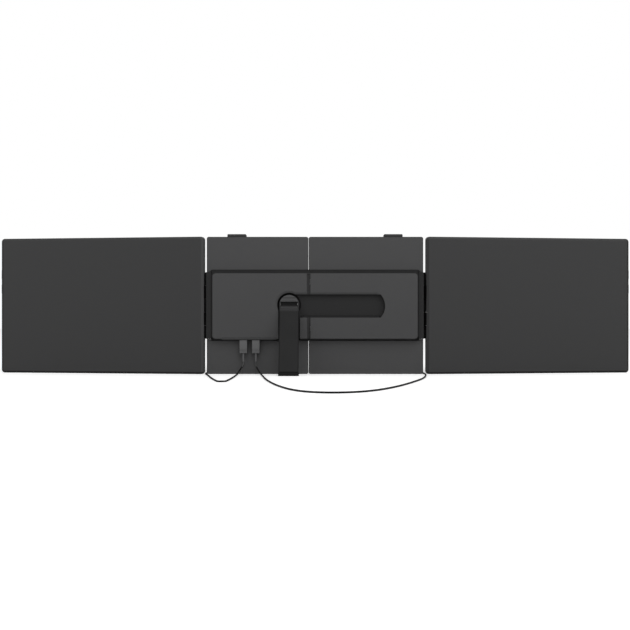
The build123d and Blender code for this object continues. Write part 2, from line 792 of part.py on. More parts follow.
def make_bezel(side):
    """The black frame round the display, with a step at the back that holds the panel."""
    front = screen_front(side)
    size = (SCREEN_WIDTH, PLATE_HEIGHT)
    step = (DISPLAY[0] + 2 * PANEL_MARGIN + 0.4, DISPLAY[1] + 2 * PANEL_MARGIN + 0.4)
    with BuildPart() as bezel:
        screen_panel(side, (front, cover_start(side)), size, SCREEN_CORNER)
        face = bezel.faces().sort_by(Axis((0, 0, 0), screen_plane(side, 0).z_dir))[0]
        chamfer(face.edges(), BEZEL_CHAMFER)
        screen_panel(side, (front - 1, front + 5), DISPLAY, 1.0, Mode.SUBTRACT)
        screen_panel(side, (front + BEZEL_LIP, front + 5), step, 1.2, Mode.SUBTRACT)
        cut_arm_ways(side, (front - 1, front + 5))
    save(bezel, f"{SIDE_NAMES[side]}_bezel")


def make_lcd_panel(side):
    """The display's glass, behind the bezel's lip."""
    front = screen_front(side) + BEZEL_LIP
    size = (DISPLAY[0] + 2 * PANEL_MARGIN, DISPLAY[1] + 2 * PANEL_MARGIN)
    with BuildPart() as lcd:
        screen_panel(side, (front, front + PANEL_THICKNESS), size, 1.0)
    save(lcd, f"{SIDE_NAMES[side]}_lcd_panel")


def make_backlight(side):
    """The light guide and its tin frame, behind the glass."""
    front = screen_front(side) + BEZEL_LIP + PANEL_THICKNESS
    size = (DISPLAY[0] + 2 * PANEL_MARGIN, DISPLAY[1] + 2 * PANEL_MARGIN)
    with BuildPart() as light:
        screen_panel(side, (front, front + LIGHT_THICKNESS), size, 1.0)
        rear = (front + LIGHT_THICKNESS - 0.6, front + LIGHT_THICKNESS + 1)
        for i in range(3):
            middle = inner_edge(side) + SCREEN_WIDTH * (i + 1) / 4
            pocket = (middle - LIGHT_POCKET / 2, middle + LIGHT_POCKET / 2)
            ends = (LIGHT_POCKET_END, PLATE_HEIGHT - LIGHT_POCKET_END)
            screen_block(side, pocket, rear, ends, Mode.SUBTRACT)
    save(light, f"{SIDE_NAMES[side]}_backlight")


def make_driver_board(side):
    """The screen's driver board with its chips, at the bottom of the rear cover."""
    floor = cover_start(side) + COVER_DEPTH - COVER_WALL
    middle = inner_edge(side) + SCREEN_WIDTH / 2
    top = floor - DRIVER_FOOT
    face = top - DRIVER_THICKNESS
    low = BEZEL_TOP - PANEL_MARGIN + DRIVER_RISE
    high = low + DRIVER_HEIGHT
    half = DRIVER_LENGTH / 2
    with BuildPart() as board:
        screen_block(side, (middle - half, middle + half), (face, top), (low, high))
        for offset, reach, rise in ((-48, 6, 0.9), (-12, 9, 1.0), (30, 5, 0.8), (52, 7, 1.1)):
            place = middle + offset
            chip_z = (low + 9, high - 9)
            screen_block(side, (place - reach, place + reach), (face - rise, face), chip_z)
        for end in (middle - half + 7, middle + half - 7):
            screen_block(side, (end - 3, end + 3), (top, floor), (low + 4, high - 4))
    save(board, f"{SIDE_NAMES[side]}_driver_board")


def make_leaf(side):
    """The hinge's moving half: a plate in the rear cover with arms to the axis."""
    floor = cover_start(side) + COVER_DEPTH - COVER_WALL
    near, far = arm_span(side)
    spans = knuckle_spans(moving=True)
    axis = (side * HINGE_X, HINGE_Y[side])
    leaf_z = (spans[0][0] - 12, spans[-1][1] + 12)
    with BuildPart() as leaf:
        inside = inner_edge(side) + WALL + GAP
        screen_block(side, (inside, inside + LEAF_WIDTH), (floor - LEAF_THICKNESS, floor), leaf_z)
        for z in (leaf_z[0] + 6, (leaf_z[0] + leaf_z[1]) / 2, leaf_z[1] - 6):
            place = inside + LEAF_WIDTH - 7
            screen_block(
                side, (place - 3, place + 3), (floor - LEAF_THICKNESS - 1, floor + 1), (z - 2, z + 2),
                Mode.SUBTRACT,
            )
        for low, high in spans:
            screen_block(side, (near, far), (0, floor), (low, high))
            post(*axis, KNUCKLE_R, (low, high))
        pin_hole(side, Mode.SUBTRACT, PIN_R + RUN_CLEARANCE)
    save(leaf, f"{SIDE_NAMES[side]}_hinge_leaf")


def key_depth(side):
    """Depth span of a key in the rear cover's edge."""
    middle = cover_start(side) + COVER_DEPTH / 2
    return middle - KEY_THICKNESS / 2, middle + KEY_THICKNESS / 2


def cut_key_way(side, z):
    """The slot for one key in the rear cover's outer wall."""
    edge = inner_edge(side) + SCREEN_WIDTH
    near, far = key_depth(side)
    half = KEY_LENGTH / 2 + KEY_PLAY
    screen_block(
        side, (edge - WALL - 1, edge + 1), (near - KEY_PLAY, far + KEY_PLAY), (z - half, z + half),
        Mode.SUBTRACT,
    )


def make_key(side, name, z):
    """A small key that presses in along the screen."""
    edge = inner_edge(side) + SCREEN_WIDTH
    inside = edge - WALL - GAP
    half = KEY_LENGTH / 2
    near, far = key_depth(side)
    with BuildPart() as key:
        screen_block(side, (inside, edge + KEY_PROUD), (near, far), (z - half, z + half))
        screen_block(
            side, (inside - KEY_FLANGE, inside), (near - 0.5, far + 0.5), (z - half - 1, z + half + 1)
        )
    save(key, f"{SIDE_NAMES[side]}_{name}")


# Kickstand


def make_turntable():
    """The round disc that the leg turns on, open below for the leg."""
    top = PIVOT_Z - LEG_TOP + 1.4
    pocket_top = TURN_Z + POCKET_TOP
    base = RECESS_FLOOR + 0.1
    with BuildPart() as disc:
        rod(TURN_X, TURN_Z, DISC_R, (base, DISC_FACE))
        chamfer(disc.faces().sort_by(Axis.Y)[0].edges(), 0.4)
        above = (base + DISC_BASE, DISC_FACE + 1)
        past = DISC_R + DISC_PAST
        block((TURN_X - past, TURN_X + past), above, (TURN_Z - past, top), Mode.SUBTRACT)
        half = POCKET_WIDTH / 2
        block((TURN_X - half, TURN_X + half), above, (TURN_Z - past, pocket_top), Mode.SUBTRACT)
        rod(TURN_X, TURN_Z, SPIGOT_R, (PLATE_BACK + 1.5, base))
        with BuildSketch(Plane.YZ.offset(TURN_X - DISC_R)):
            with Locations((-PIVOT_DEPTH, PIVOT_Z)):
                Circle(PIVOT_R + RUN_CLEARANCE)
        extrude(amount=2 * DISC_R, mode=Mode.SUBTRACT)
    save(disc, "turntable_disc")


def make_turntable_cap():
    """The pale half-round cap on the upper part of the disc."""
    low = TURN_Z + POCKET_TOP + 0.3
    with BuildPart() as cap:
        rod(TURN_X, TURN_Z, DISC_R - 0.3, (DISC_FACE, DISC_FACE + CAP_THICKNESS))
        below = (DISC_FACE - 1, DISC_FACE + CAP_THICKNESS + 1)
        past = DISC_R + DISC_PAST
        block((TURN_X - past, TURN_X + past), below, (TURN_Z - past, low), Mode.SUBTRACT)
        face = DISC_FACE + CAP_THICKNESS
        chamfer(cap.faces().sort_by(Axis.Y)[0].edges(), 0.35)
        slot = TURN_Z + CAP_SLOT_RISE
        block(
            (TURN_X - CAP_SLOT_WIDTH / 2, TURN_X + CAP_SLOT_WIDTH / 2),
            (face - CAP_SLOT_DEPTH, face + 1),
            (slot, slot + CAP_SLOT_HEIGHT),
            Mode.SUBTRACT,
        )
    save(cap, "turntable_cap")


def make_turntable_retainer():
    """The ring behind the tray that keeps the disc in place."""
    near = PLATE_BACK + 1.7
    far = RECESS_FLOOR - TRAY_THICKNESS - GAP
    with BuildPart() as ring:
        rod(TURN_X, TURN_Z, SPIGOT_R + 3.6, (near, far))
        rod(TURN_X, TURN_Z, SPIGOT_R + 0.02, (near - 1, far + 1), Mode.SUBTRACT)
    save(ring, "turntable_retainer")


def make_leg_pin():
    """The pin through the disc's ears and the leg's tongue."""
    half = DISC_R - 0.9
    with BuildPart() as pin:
        with BuildSketch(Plane.YZ.offset(TURN_X - half)):
            with Locations((-PIVOT_DEPTH, PIVOT_Z)):
                Circle(PIVOT_R)
        extrude(amount=2 * half)
        chamfer(pin.edges().filter_by(GeomType.CIRCLE), 0.2)
    save(pin, "kickstand_pin")


def leg_plane(rise):
    """The plane on the leg's middle, moved outwards by a rise, with its Y up the leg."""
    turn = radians(LEG_ANGLE)
    normal = Vector(0, -cos(turn), sin(turn))
    pivot = Vector(TURN_X, -PIVOT_DEPTH, PIVOT_Z)
    return Plane(origin=pivot + normal * rise, x_dir=Vector(1, 0, 0), z_dir=normal)


def leg_block(width, y, rise, mode=Mode.ADD):
    """A flat bar along the leg, in the piece being made."""
    with BuildSketch(leg_plane(rise[0])) as profile:
        with Locations((0, (y[0] + y[1]) / 2)):
            Rectangle(width, y[1] - y[0])
    extrude(profile.sketch, amount=rise[1] - rise[0], mode=mode)


def leg_length():
    """From the pivot to the end of the foot, so that the foot's sole is on the table."""
    turn = radians(LEG_ANGLE)
    half = LEG_THICKNESS / 2 + FOOT_GROW
    return PIVOT_Z / cos(turn) + half * tan(turn)


def make_leg():
    """The flat leg with its tongue on the turntable's pin."""
    end = -(leg_length() - FOOT_LENGTH)
    half = LEG_THICKNESS / 2
    with BuildPart() as leg:
        leg_block(LEG_WIDTH, (end, -LEG_TOP), (-half, half))
        outer = leg.faces().filter_by(leg_plane(0)).sort_by(Axis.Y)[0]
        chamfer(outer.edges(), 1.2)
        bend = (-BEND_PLACE - BEND_WIDTH / 2, -BEND_PLACE + BEND_WIDTH / 2)
        leg_block(LEG_WIDTH + 1, bend, (half - BEND_DEPTH, half + 1), Mode.SUBTRACT)
        core = TONGUE_THICKNESS / 2
        width = POCKET_WIDTH - 0.6
        leg_block(width, (-LEG_TOP - 1, 0), (-core, core))
        with BuildSketch(Plane.YZ.offset(TURN_X - width / 2)):
            with Locations((-PIVOT_DEPTH, PIVOT_Z)):
                Circle(TONGUE_R)
        extrude(amount=width)
        with BuildSketch(Plane.YZ.offset(TURN_X - width)):
            with Locations((-PIVOT_DEPTH, PIVOT_Z)):
                Circle(PIVOT_R + RUN_CLEARANCE)
        extrude(amount=2 * width, mode=Mode.SUBTRACT)
    save(leg, "kickstand_leg")


def make_foot():
    """The rubber foot on the leg's end, with its sole flat on the table."""
    end = -(leg_length() - FOOT_LENGTH)
    half = LEG_THICKNESS / 2 + FOOT_GROW
    with BuildPart() as foot:
        leg_block(LEG_WIDTH + 2 * FOOT_GROW, (end - FOOT_LENGTH - 4, end), (-half, half))
        chamfer(foot.edges().filter_by(Axis((0, 0, 0), leg_plane(0).z_dir)), 1.0)
        room = 2 * PIVOT_Z
        block((TURN_X - LEG_WIDTH, TURN_X + LEG_WIDTH), (0, room), (-room, 0), Mode.SUBTRACT)
    save(foot, "kickstand_foot")


# Hooks


def make_hook(side):
    """A hook that slides up out of the plate and reaches over the laptop's lid."""
    x = outward(side, *HOOK_X)
    top = PLATE_HEIGHT + HOOK_RISE
    strip = (-HOOK_STRIP / 2, HOOK_STRIP / 2)
    front = -HOOK_REACH
    with BuildPart() as hook:
        with BuildSketch(behind(front)):
            panel(x, (PLATE_HEIGHT + GAP - 4, top), HOOK_CORNER)
            with Locations(((x[0] + x[1]) / 2, PLATE_HEIGHT + GAP - 3)):
                Rectangle(x[1] - x[0] + 2, 6, mode=Mode.SUBTRACT)
        extrude(amount=PLATE_BACK - front)
        block(x, (front, front + HOOK_LIP), (top - HOOK_DROP, PLATE_HEIGHT + 1.2))
        block(x, strip, (PLATE_HEIGHT - HOOK_SLOT_DEPTH + 6, PLATE_HEIGHT + 1.2))
    save(hook, f"{SIDE_NAMES[side]}_hook")


def make_hook_pad(side):
    """The soft pad inside the hook's lip."""
    x = outward(side, HOOK_X[0] + 1, HOOK_X[1] - 1)
    lip = -HOOK_REACH + HOOK_LIP
    low = PLATE_HEIGHT + HOOK_RISE - HOOK_DROP + 0.6
    with BuildPart() as pad:
        block(x, (lip, lip + HOOK_PAD), (low, PLATE_HEIGHT - 0.2))
        chamfer(pad.faces().sort_by(Axis.Y)[0].edges(), 0.3)
    save(pad, f"{SIDE_NAMES[side]}_hook_pad")


# Hub


def board_depth():
    """Depth of the hub board's front, clear of the rails behind it."""
    return PLATE_BACK + RAIL_THICKNESS + 0.4


def make_hub_board():
    """The board that takes both cables and feeds the screens."""
    near = board_depth()
    with BuildPart() as board:
        block(BOARD_X, (near, near + BOARD_THICKNESS), BOARD_Z)
        top = near + BOARD_THICKNESS
        for x, z, half, rise in (
            (-98.0, 84.0, 7.0, 1.2),
            (-122.0, 98.0, 5.0, 1.0),
            (-82.0, 108.0, 4.0, 1.6),
        ):
            block((x - half, x + half), (top, top + rise), (z - half, z + half))
    save(board, "hub_board")


def make_ports():
    """The two sockets in the port bay."""
    outer = (SHELL_SIZE[0] + 2 * (PORT_PLAY + PORT_WALL), SHELL_SIZE[1] + 2 * (PORT_PLAY + PORT_WALL))
    inner = (SHELL_SIZE[0] + 2 * PORT_PLAY, SHELL_SIZE[1] + 2 * PORT_PLAY)
    with BuildPart() as ports:
        for x in PLUG_X:
            with BuildSketch(Plane.XY.offset(BAY_TOP - 0.6)):
                with Locations((x, -PLUG_DEPTH)):
                    RectangleRounded(*outer, outer[1] / 2 - 0.05)
            extrude(amount=PORT_DEEP)
            with BuildSketch(Plane.XY.offset(BAY_TOP - 0.6)):
                with Locations((x, -PLUG_DEPTH)):
                    RectangleRounded(*inner, inner[1] / 2 - 0.05)
            extrude(amount=PORT_DEEP - 1, mode=Mode.SUBTRACT)
    save(ports, "hub_ports")


def make_port_panel():
    """The dark strip in the port bay, with an opening round each socket."""
    low, high = BAY_TOP - 1.4, BAY_TOP
    near, far = PLATE_BACK + 1.8, HOUSE_FACE - WALL - GAP
    outer = (SHELL_SIZE[0] + 2 * (PORT_PLAY + PORT_WALL), SHELL_SIZE[1] + 2 * (PORT_PLAY + PORT_WALL))
    with BuildPart() as strip:
        block((BAY_X[0] + GAP, BAY_X[1] - GAP), (near, far), (low, high - 0.1))
        for x in PLUG_X:
            with BuildSketch(Plane.XY.offset(low - 1)):
                with Locations((x, -PLUG_DEPTH)):
                    RectangleRounded(outer[0] + 0.2, outer[1] + 0.2, outer[1] / 2)
            extrude(amount=4, mode=Mode.SUBTRACT)
    save(strip, "port_panel")


def make_hub_plug(side, x):
    """A plug in the hub: a moulded grip and the metal shell in its socket."""
    low = PLUG_TOP - PLUG_SIZE[2]
    with BuildPart() as plug:
        with BuildSketch(Plane.XY.offset(low)):
            with Locations((x, -PLUG_DEPTH)):
                RectangleRounded(PLUG_SIZE[0], PLUG_SIZE[1], 2.2)
        extrude(amount=PLUG_SIZE[2])
        chamfer(plug.faces().sort_by(Axis.Z)[0].edges(), 0.8)
        with BuildSketch(Plane.XY.offset(PLUG_TOP)):
            with Locations((x, -PLUG_DEPTH)):
                RectangleRounded(SHELL_SIZE[0], SHELL_SIZE[1], SHELL_SIZE[1] / 2 - 0.05)
        extrude(amount=SHELL_SIZE[2])
    save(plug, f"{SIDE_NAMES[side]}_hub_plug")


def make_hub_relief(side, x):
    """The tapered strain relief under a hub plug."""
    top = PLUG_TOP - PLUG_SIZE[2]
    with BuildPart() as relief:
        with BuildSketch(Plane.XY.offset(top)):
            with Locations((x, -PLUG_DEPTH)):
                Circle(RELIEF_R)
        with BuildSketch(Plane.XY.offset(top - RELIEF_LENGTH)):
            with Locations((x, -PLUG_DEPTH)):
                Circle(CORD_D / 2 + 0.25)
        loft()
    save(relief, f"{SIDE_NAMES[side]}_hub_strain_relief")


def make_free_plug(side):
    """The plug for the laptop at the cable's far end, with its strain relief."""
    start = side * FREE_PLUG_X
    height = PLUG_SIZE[1] / 2
    facing = Plane(
        origin=(start, FREE_PLUG_Y, height), x_dir=(0, -side, 0), z_dir=(-side, 0, 0)
    )
    with BuildPart() as plug:
        with BuildSketch(facing):
            RectangleRounded(PLUG_SIZE[0], PLUG_SIZE[1], 2.2)
        extrude(amount=PLUG_SIZE[2])
        with BuildSketch(facing.offset(PLUG_SIZE[2])):
            RectangleRounded(SHELL_SIZE[0], SHELL_SIZE[1], SHELL_SIZE[1] / 2 - 0.05)
        extrude(amount=SHELL_SIZE[2])
        with BuildSketch(facing):
            Circle(RELIEF_R)
        with BuildSketch(facing.offset(-FREE_RELIEF)):
            Circle(CORD_D / 2 + 0.25)
        loft()
    save(plug, f"{SIDE_NAMES[side]}_laptop_plug")


# Cables


def cord_radii(points):
    """The bend radius at each corner of a route, as large as its two runs allow."""
    radii = []
    for before, here, after in zip(points, points[1:], points[2:]):
        into = Vector(*here) - Vector(*before)
        out = Vector(*after) - Vector(*here)
        turn = into.get_angle(out)
        shorter = min(into.length, out.length)
        radii.append(MIN_TURN * shorter / tan(radians(turn) / 2))
    return radii


def make_cord(name, points):
    """A round cable of straight runs joined by arcs."""
    radii = cord_radii(points)
    with BuildPart() as cord:
        with BuildLine():
            route = FilletPolyline(*points, radius=radii)
        with BuildSketch(Plane(origin=route @ 0, z_dir=route % 0)):
            Circle(CORD_D / 2)
        sweep()
    length = route.length
    ideal = 3.14159265 * CORD_D**2 / 4 * length
    runs = [(Vector(*b) - Vector(*a)).length for a, b in zip(points, points[1:])]
    print(
        f"{name}: length {length:.1f}, volume over ideal {cord.part.volume / ideal:.4f},"
        f" runs {min(runs):.1f} to {max(runs):.1f}, least radius {min(radii):.1f}"
    )
    print("  radii " + " ".join(f"{r:.0f}" for r in radii))
    save(cord, name)


for side in (-1, 1):
    make_plate(side)
    make_lid_pads(side)
    make_cover(side)
    make_cover_screws(side)
    make_bracket(side)
    make_pin(side)
    make_leaf(side)
    make_rear_cover(side)
    make_bezel(side)
    make_lcd_panel(side)
    make_backlight(side)
    make_driver_board(side)
    for key_name, key_z in KEY_Z.items():
        make_key(side, key_name, key_z)
    make_hook(side)
    make_hook_pad(side)
    make_hub_plug(side, PLUG_X[0 if side < 0 else 1])
    make_hub_relief(side, PLUG_X[0 if side < 0 else 1])
    make_free_plug(side)
for rail_name, rail_z in zip(("lower", "upper"), RAIL_Z):
    make_fixed_rail(rail_name, rail_z)
    make_moving_rail(rail_name, rail_z)
make_stow_tray()
make_turntable()
make_turntable_cap()
make_turntable_retainer()
make_leg_pin()
make_leg()
make_foot()
make_hub_board()
make_ports()
make_port_panel()
make_cord("short_cable", LEFT_ROUTE)
make_cord("long_cable", RIGHT_ROUTE)
make_cord("long_cable_tail", RIGHT_TAIL)
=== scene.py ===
import json
from math import cos, pi, radians, sin

import bmesh
import bpy
from mathutils import Matrix, Vector


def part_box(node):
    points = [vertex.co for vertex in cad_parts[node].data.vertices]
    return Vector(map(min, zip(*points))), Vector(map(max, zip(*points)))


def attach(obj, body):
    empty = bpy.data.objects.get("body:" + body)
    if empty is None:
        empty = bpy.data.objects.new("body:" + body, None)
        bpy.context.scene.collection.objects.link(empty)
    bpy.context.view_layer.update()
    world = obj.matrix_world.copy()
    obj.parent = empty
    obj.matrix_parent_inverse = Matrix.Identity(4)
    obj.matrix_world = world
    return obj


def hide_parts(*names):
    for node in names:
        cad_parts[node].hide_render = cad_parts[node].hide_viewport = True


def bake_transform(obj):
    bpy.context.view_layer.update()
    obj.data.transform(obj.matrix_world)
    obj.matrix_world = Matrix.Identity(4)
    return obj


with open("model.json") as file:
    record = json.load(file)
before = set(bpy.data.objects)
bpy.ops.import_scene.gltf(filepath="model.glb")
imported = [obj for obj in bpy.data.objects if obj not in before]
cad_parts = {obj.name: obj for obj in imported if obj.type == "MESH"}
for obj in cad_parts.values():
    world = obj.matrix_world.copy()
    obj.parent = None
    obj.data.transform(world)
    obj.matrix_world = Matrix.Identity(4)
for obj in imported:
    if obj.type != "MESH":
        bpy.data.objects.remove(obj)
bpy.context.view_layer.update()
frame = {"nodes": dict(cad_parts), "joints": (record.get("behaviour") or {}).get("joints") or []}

bl_info = {
    "name": "Dual Portable Monitor",
    "version": (1, 0, 0),
    "blender": (4, 5, 0),
    "location": "View3D > Sidebar > Monitor",
    "description": "Dresses two screens on a widening frame, with its kickstand, hooks and cables",
    "category": "Object",
}

MM = 0.001
SIDES = {"left": -1, "right": 1}
HALF_OF = {"left": "frame", "right": "right_half"}

# The photograph: a square of this many pixels, with the horizon and the object's middle at
# its centre, and a focal length in pixels.
PHOTO_SIZE = 630
PHOTO_FOCAL = 1205.0
SENSOR = 36.0

# Height of a cable's middle where it lies on the table
LIE = 0.0012


def on_table(*places):
    """Points of a route that lie on the table."""
    return [(x, y, LIE) for x, y in places]


# Cable routes in metres. Each starts at its plug in the hub and ends at its free plug.
SHORT_ROUTE = [
    (-0.1066, -0.0088, 0.0190), (-0.1066, -0.0088, 0.0132), (-0.1108, -0.0134, 0.0080),
    (-0.1128, -0.0230, 0.0039), (-0.1136, -0.0400, 0.0017),
    *on_table(
        (-0.1140, -0.0660), (-0.1141, -0.1000), (-0.1146, -0.1380), (-0.1153, -0.1680),
        (-0.1161, -0.1910), (-0.1168, -0.2085), (-0.1175, -0.2186), (-0.1208, -0.2224),
        (-0.1256, -0.2224), (-0.1289, -0.2183), (-0.1306, -0.2085), (-0.1339, -0.1918),
        (-0.1391, -0.1635), (-0.1449, -0.1285), (-0.1506, -0.0890), (-0.1562, -0.0525),
        (-0.1605, -0.0260), (-0.1625, -0.0110), (-0.1628, 0.0050), (-0.1590, 0.0142),
        (-0.1470, 0.0146),
    ),
    (-0.1350, 0.0119, 0.0016), (-0.1238, 0.0100, 0.00325), (-0.1125, 0.0100, 0.00325),
]
LONG_ROUTE = [
    (-0.0880, -0.0088, 0.0190), (-0.0880, -0.0088, 0.0132), (-0.0854, -0.0134, 0.0078),
    (-0.0820, -0.0230, 0.0036), (-0.0790, -0.0400, 0.0017),
    *on_table(
        (-0.0765, -0.0620), (-0.0732, -0.0970), (-0.0694, -0.1430), (-0.0643, -0.1910),
        (-0.0576, -0.2434), (-0.0497, -0.2967), (-0.0393, -0.3510), (-0.0272, -0.3993),
        (-0.0103, -0.4365), (0.0162, -0.4536), (0.0462, -0.4425), (0.0692, -0.4124),
        (0.0880, -0.3691), (0.1046, -0.3209), (0.1201, -0.2656), (0.1341, -0.2102),
        (0.1467, -0.1570), (0.1549, -0.1070), (0.1601, -0.0630), (0.1623, -0.0330),
        (0.16265, -0.0170), (0.1626, 0.0050), (0.1586, 0.0143), (0.1464, 0.0149),
    ),
    (0.1348, 0.0119, 0.0016), (0.1236, 0.0100, 0.00325), (0.1125, 0.0100, 0.00325),
]

# Where paint changes: the start and the end of a soft step, from an edge or from a middle. All but
# DISPLAY_BORDER and HUB_PLUGS_BEHIND place painted light or shade.
PANEL_RIM = 1.2 * MM
PANEL_INNER = (3.8 * MM, 4.6 * MM)
PANEL_OUTER = (-3.4 * MM, -2.8 * MM)
PANEL_UNDER = (2.6 * MM, 3.2 * MM)
HOUSING_FACE = (-1.7 * MM, -0.9 * MM)
HOUSING_LOW = (4 * MM, 8 * MM)
HOUSING_GROOVE = (1.6 * MM, 3.0 * MM)
LEG_BAR = (-12.6 * MM, -12.1 * MM)
LEG_EDGE = (-7.0 * MM, -6.4 * MM)
LEG_TONGUE = (-5.8 * MM, -5.5 * MM)
CAP_SLOT_RISE = 5.6 * MM
CAP_SLOT_LINE = (0.5 * MM, 0.9 * MM)
CAP_SLOT_END = (9.4 * MM, 9.9 * MM)
WELL_WALL = (2.6 * MM, 3.2 * MM)
HUB_PLUGS_BEHIND = (-4 * MM, -3 * MM)
PLUG_STRIP = (0.0, 0.3 * MM)
CABLE_HANGS = (2.6 * MM, 5 * MM)
DISPLAY_BORDER = 4.5 * MM

# Painted light on each screen's inner bevel: above 1 a painted highlight, below 1 a painted shade
PAINTED_BEVEL_LIGHT = {"left": 1.55, "right": 0.45}

# Strength and depth of the peel in satin paint
PEEL = (0.16, 0.07 * MM)


def colour_property(label, text, value):
    """A colour that a user may change."""
    return bpy.props.FloatVectorProperty(
        name=label,
        description=text,
        default=(value, value, value * 1.02),
        subtype="COLOR",
        min=0.0,
        max=1.0,
    )


def amount_property(label, text, value, **limits):
    """A number that a user may change."""
    return bpy.props.FloatProperty(name=label, description=text, default=value, **limits)


def length_property(label, text, value):
    """A length that a user may change, in metres."""
    return amount_property(label, text, value, min=0.0, unit="LENGTH", precision=5)


class MonitorColours(bpy.types.PropertyGroup):
    """Colours of the finishes."""

    screen: colour_property("Screen Backs", "Paint on the rear covers", 0.022)
    plate: colour_property("Plates", "Paint on the frame's plates", 0.043)
    housing: colour_property("Housing", "Face of the moulded housing", 0.045)
    # Painted shade: the colour of the housing's sloped sides, darker than the face
    slope: colour_property("Housing Slopes", "Sloped sides of the housing", 0.006)
    tray: colour_property("Recess", "Lining of the kickstand's recess", 0.011)
    leg: colour_property("Leg", "Paint on the leg", 0.009)
    # Painted light: the paler colour of the leg's upper bar
    leg_bar_light: colour_property("Leg Bar", "The leg's paler upper bar", 0.026)
    disc: colour_property("Turntable", "Paint on the turntable", 0.006)
    cap: colour_property("Cap", "Pale cap on the turntable", 0.050)
    black: colour_property("Black Parts", "Bezels, hooks and socket strip", 0.010)
    hinge: colour_property("Hinges", "Paint on the hinge bands", 0.012)
    rubber: colour_property("Rubber", "Foot and pads", 0.006)
    grip: colour_property("Plugs", "Moulded grips", 0.092)
    sleeve: colour_property("Strain Reliefs", "Sleeves with rings behind the plugs", 0.095)
    cable: colour_property("Cables", "Cable jacket", 0.006)
    display: colour_property("Displays", "Displays, switched off", 0.004)


class MonitorSizes(bpy.types.PropertyGroup):
    """Sizes of the pieces that the frame doesn't hold."""

    cable_diameter: length_property("Cable Diameter", "Outside of the cable jacket", 2.4 * MM)
    grip_round: length_property("Grip Rounding", "Rounded ends of the plugs", 0.6 * MM)
    relief_rings: bpy.props.IntProperty(
        name="Relief Rings", description="Rings on each strain relief", default=7, min=2, max=20
    )
    rib_pitch: length_property("Pad Rib Pitch", "Spacing of the ribs on the lid pads", 3.0 * MM)
    rib_radius: length_property("Pad Rib Radius", "Half the width of a rib", 0.42 * MM)
    washer_thickness: length_property("Washer", "Thickness of the hinge washers", 0.25 * MM)


class MonitorStage(bpy.types.PropertyGroup):
    """Camera, lamps and floor."""

    camera_back: length_property("Camera Distance", "From the frame to the camera", 1.8025)
    camera_height: length_property("Camera Height", "Above the table", 0.0882)
    floor_size: length_property("Floor Size", "Side of the square floor", 12.0)
    key_power: amount_property("Key Lamp", "Power of the lamp above", 40.0, unit="POWER")
    fill_power: amount_property("Fill Lamps", "Power of each lamp at the side", 12.0, unit="POWER")
    ambient: amount_property("Ambient", "Light from the room", 0.55, min=0.0, max=1.0)


class Value:
    """One output of a node. Arithmetic on it adds Math nodes to its graph."""

    def __init__(self, graph, socket):
        self.graph = graph
        self.socket = socket

    def maths(self, operation, *terms):
        return self.graph.node(
            "ShaderNodeMath", {"operation": operation}, dict(enumerate(terms))
        )

    def __add__(self, other):
        return self.maths("ADD", self, other)

    def __radd__(self, other):
        return self.maths("ADD", other, self)

    def __sub__(self, other):
        return self.maths("SUBTRACT", self, other)

    def __rsub__(self, other):
        return self.maths("SUBTRACT", other, self)

    def __mul__(self, other):
        return self.maths("MULTIPLY", self, other)

    def __rmul__(self, other):
        return self.maths("MULTIPLY", other, self)

    def __truediv__(self, other):
        return self.maths("DIVIDE", self, other)

    def __pow__(self, other):
        return self.maths("POWER", self, other)

    def __abs__(self):
        return self.maths("ABSOLUTE", self)

    def least(self, other):
        return self.maths("MINIMUM", self, other)

    def most(self, other):
        return self.maths("MAXIMUM", self, other)

    def fract(self):
        return self.maths("FRACT", self)

    def step(self, low, high):
        """0 below low, 1 above high and a soft step between them."""
        return self.graph.node(
            "ShaderNodeMapRange",
            {"interpolation_type": "SMOOTHSTEP"},
            {"Value": self, "From Min": low, "From Max": high},
        )

    def past(self, edge, reach):
        """The same step, its start and end measured from an edge."""
        return self.step(edge + reach[0], edge + reach[1])

    def near(self, middle, reach):
        """1 near a middle, falling to 0 between two distances from it."""
        return 1 - abs(self - middle).step(*reach)

    def output(self, name):
        """Another output of the same node."""
        return Value(self.graph, self.socket.node.outputs[name])


class Graph:
    """A node tree under construction."""

    def __init__(self, tree):
        self.tree = tree
        tree.nodes.clear()

    def node(self, kind, settings=None, sockets=None, out=0):
        """Add a node, set it, feed its sockets with values or links, and give one output."""
        node = self.tree.nodes.new(kind)
        for name, value in (settings or {}).items():
            setattr(node, name, value)
        for name, value in (sockets or {}).items():
            self.feed(node.inputs[name], value)
        return Value(self, node.outputs[out]) if node.outputs else None

    def feed(self, socket, value):
        """Link a value to a socket, or set it."""
        if isinstance(value, Value):
            self.tree.links.new(value.socket, socket)
        else:
            socket.default_value = value

    def xyz(self, vector):
        """The three parts of a vector."""
        parts = self.node("ShaderNodeSeparateXYZ", sockets={"Vector": vector})
        return parts, parts.output("Y"), parts.output("Z")


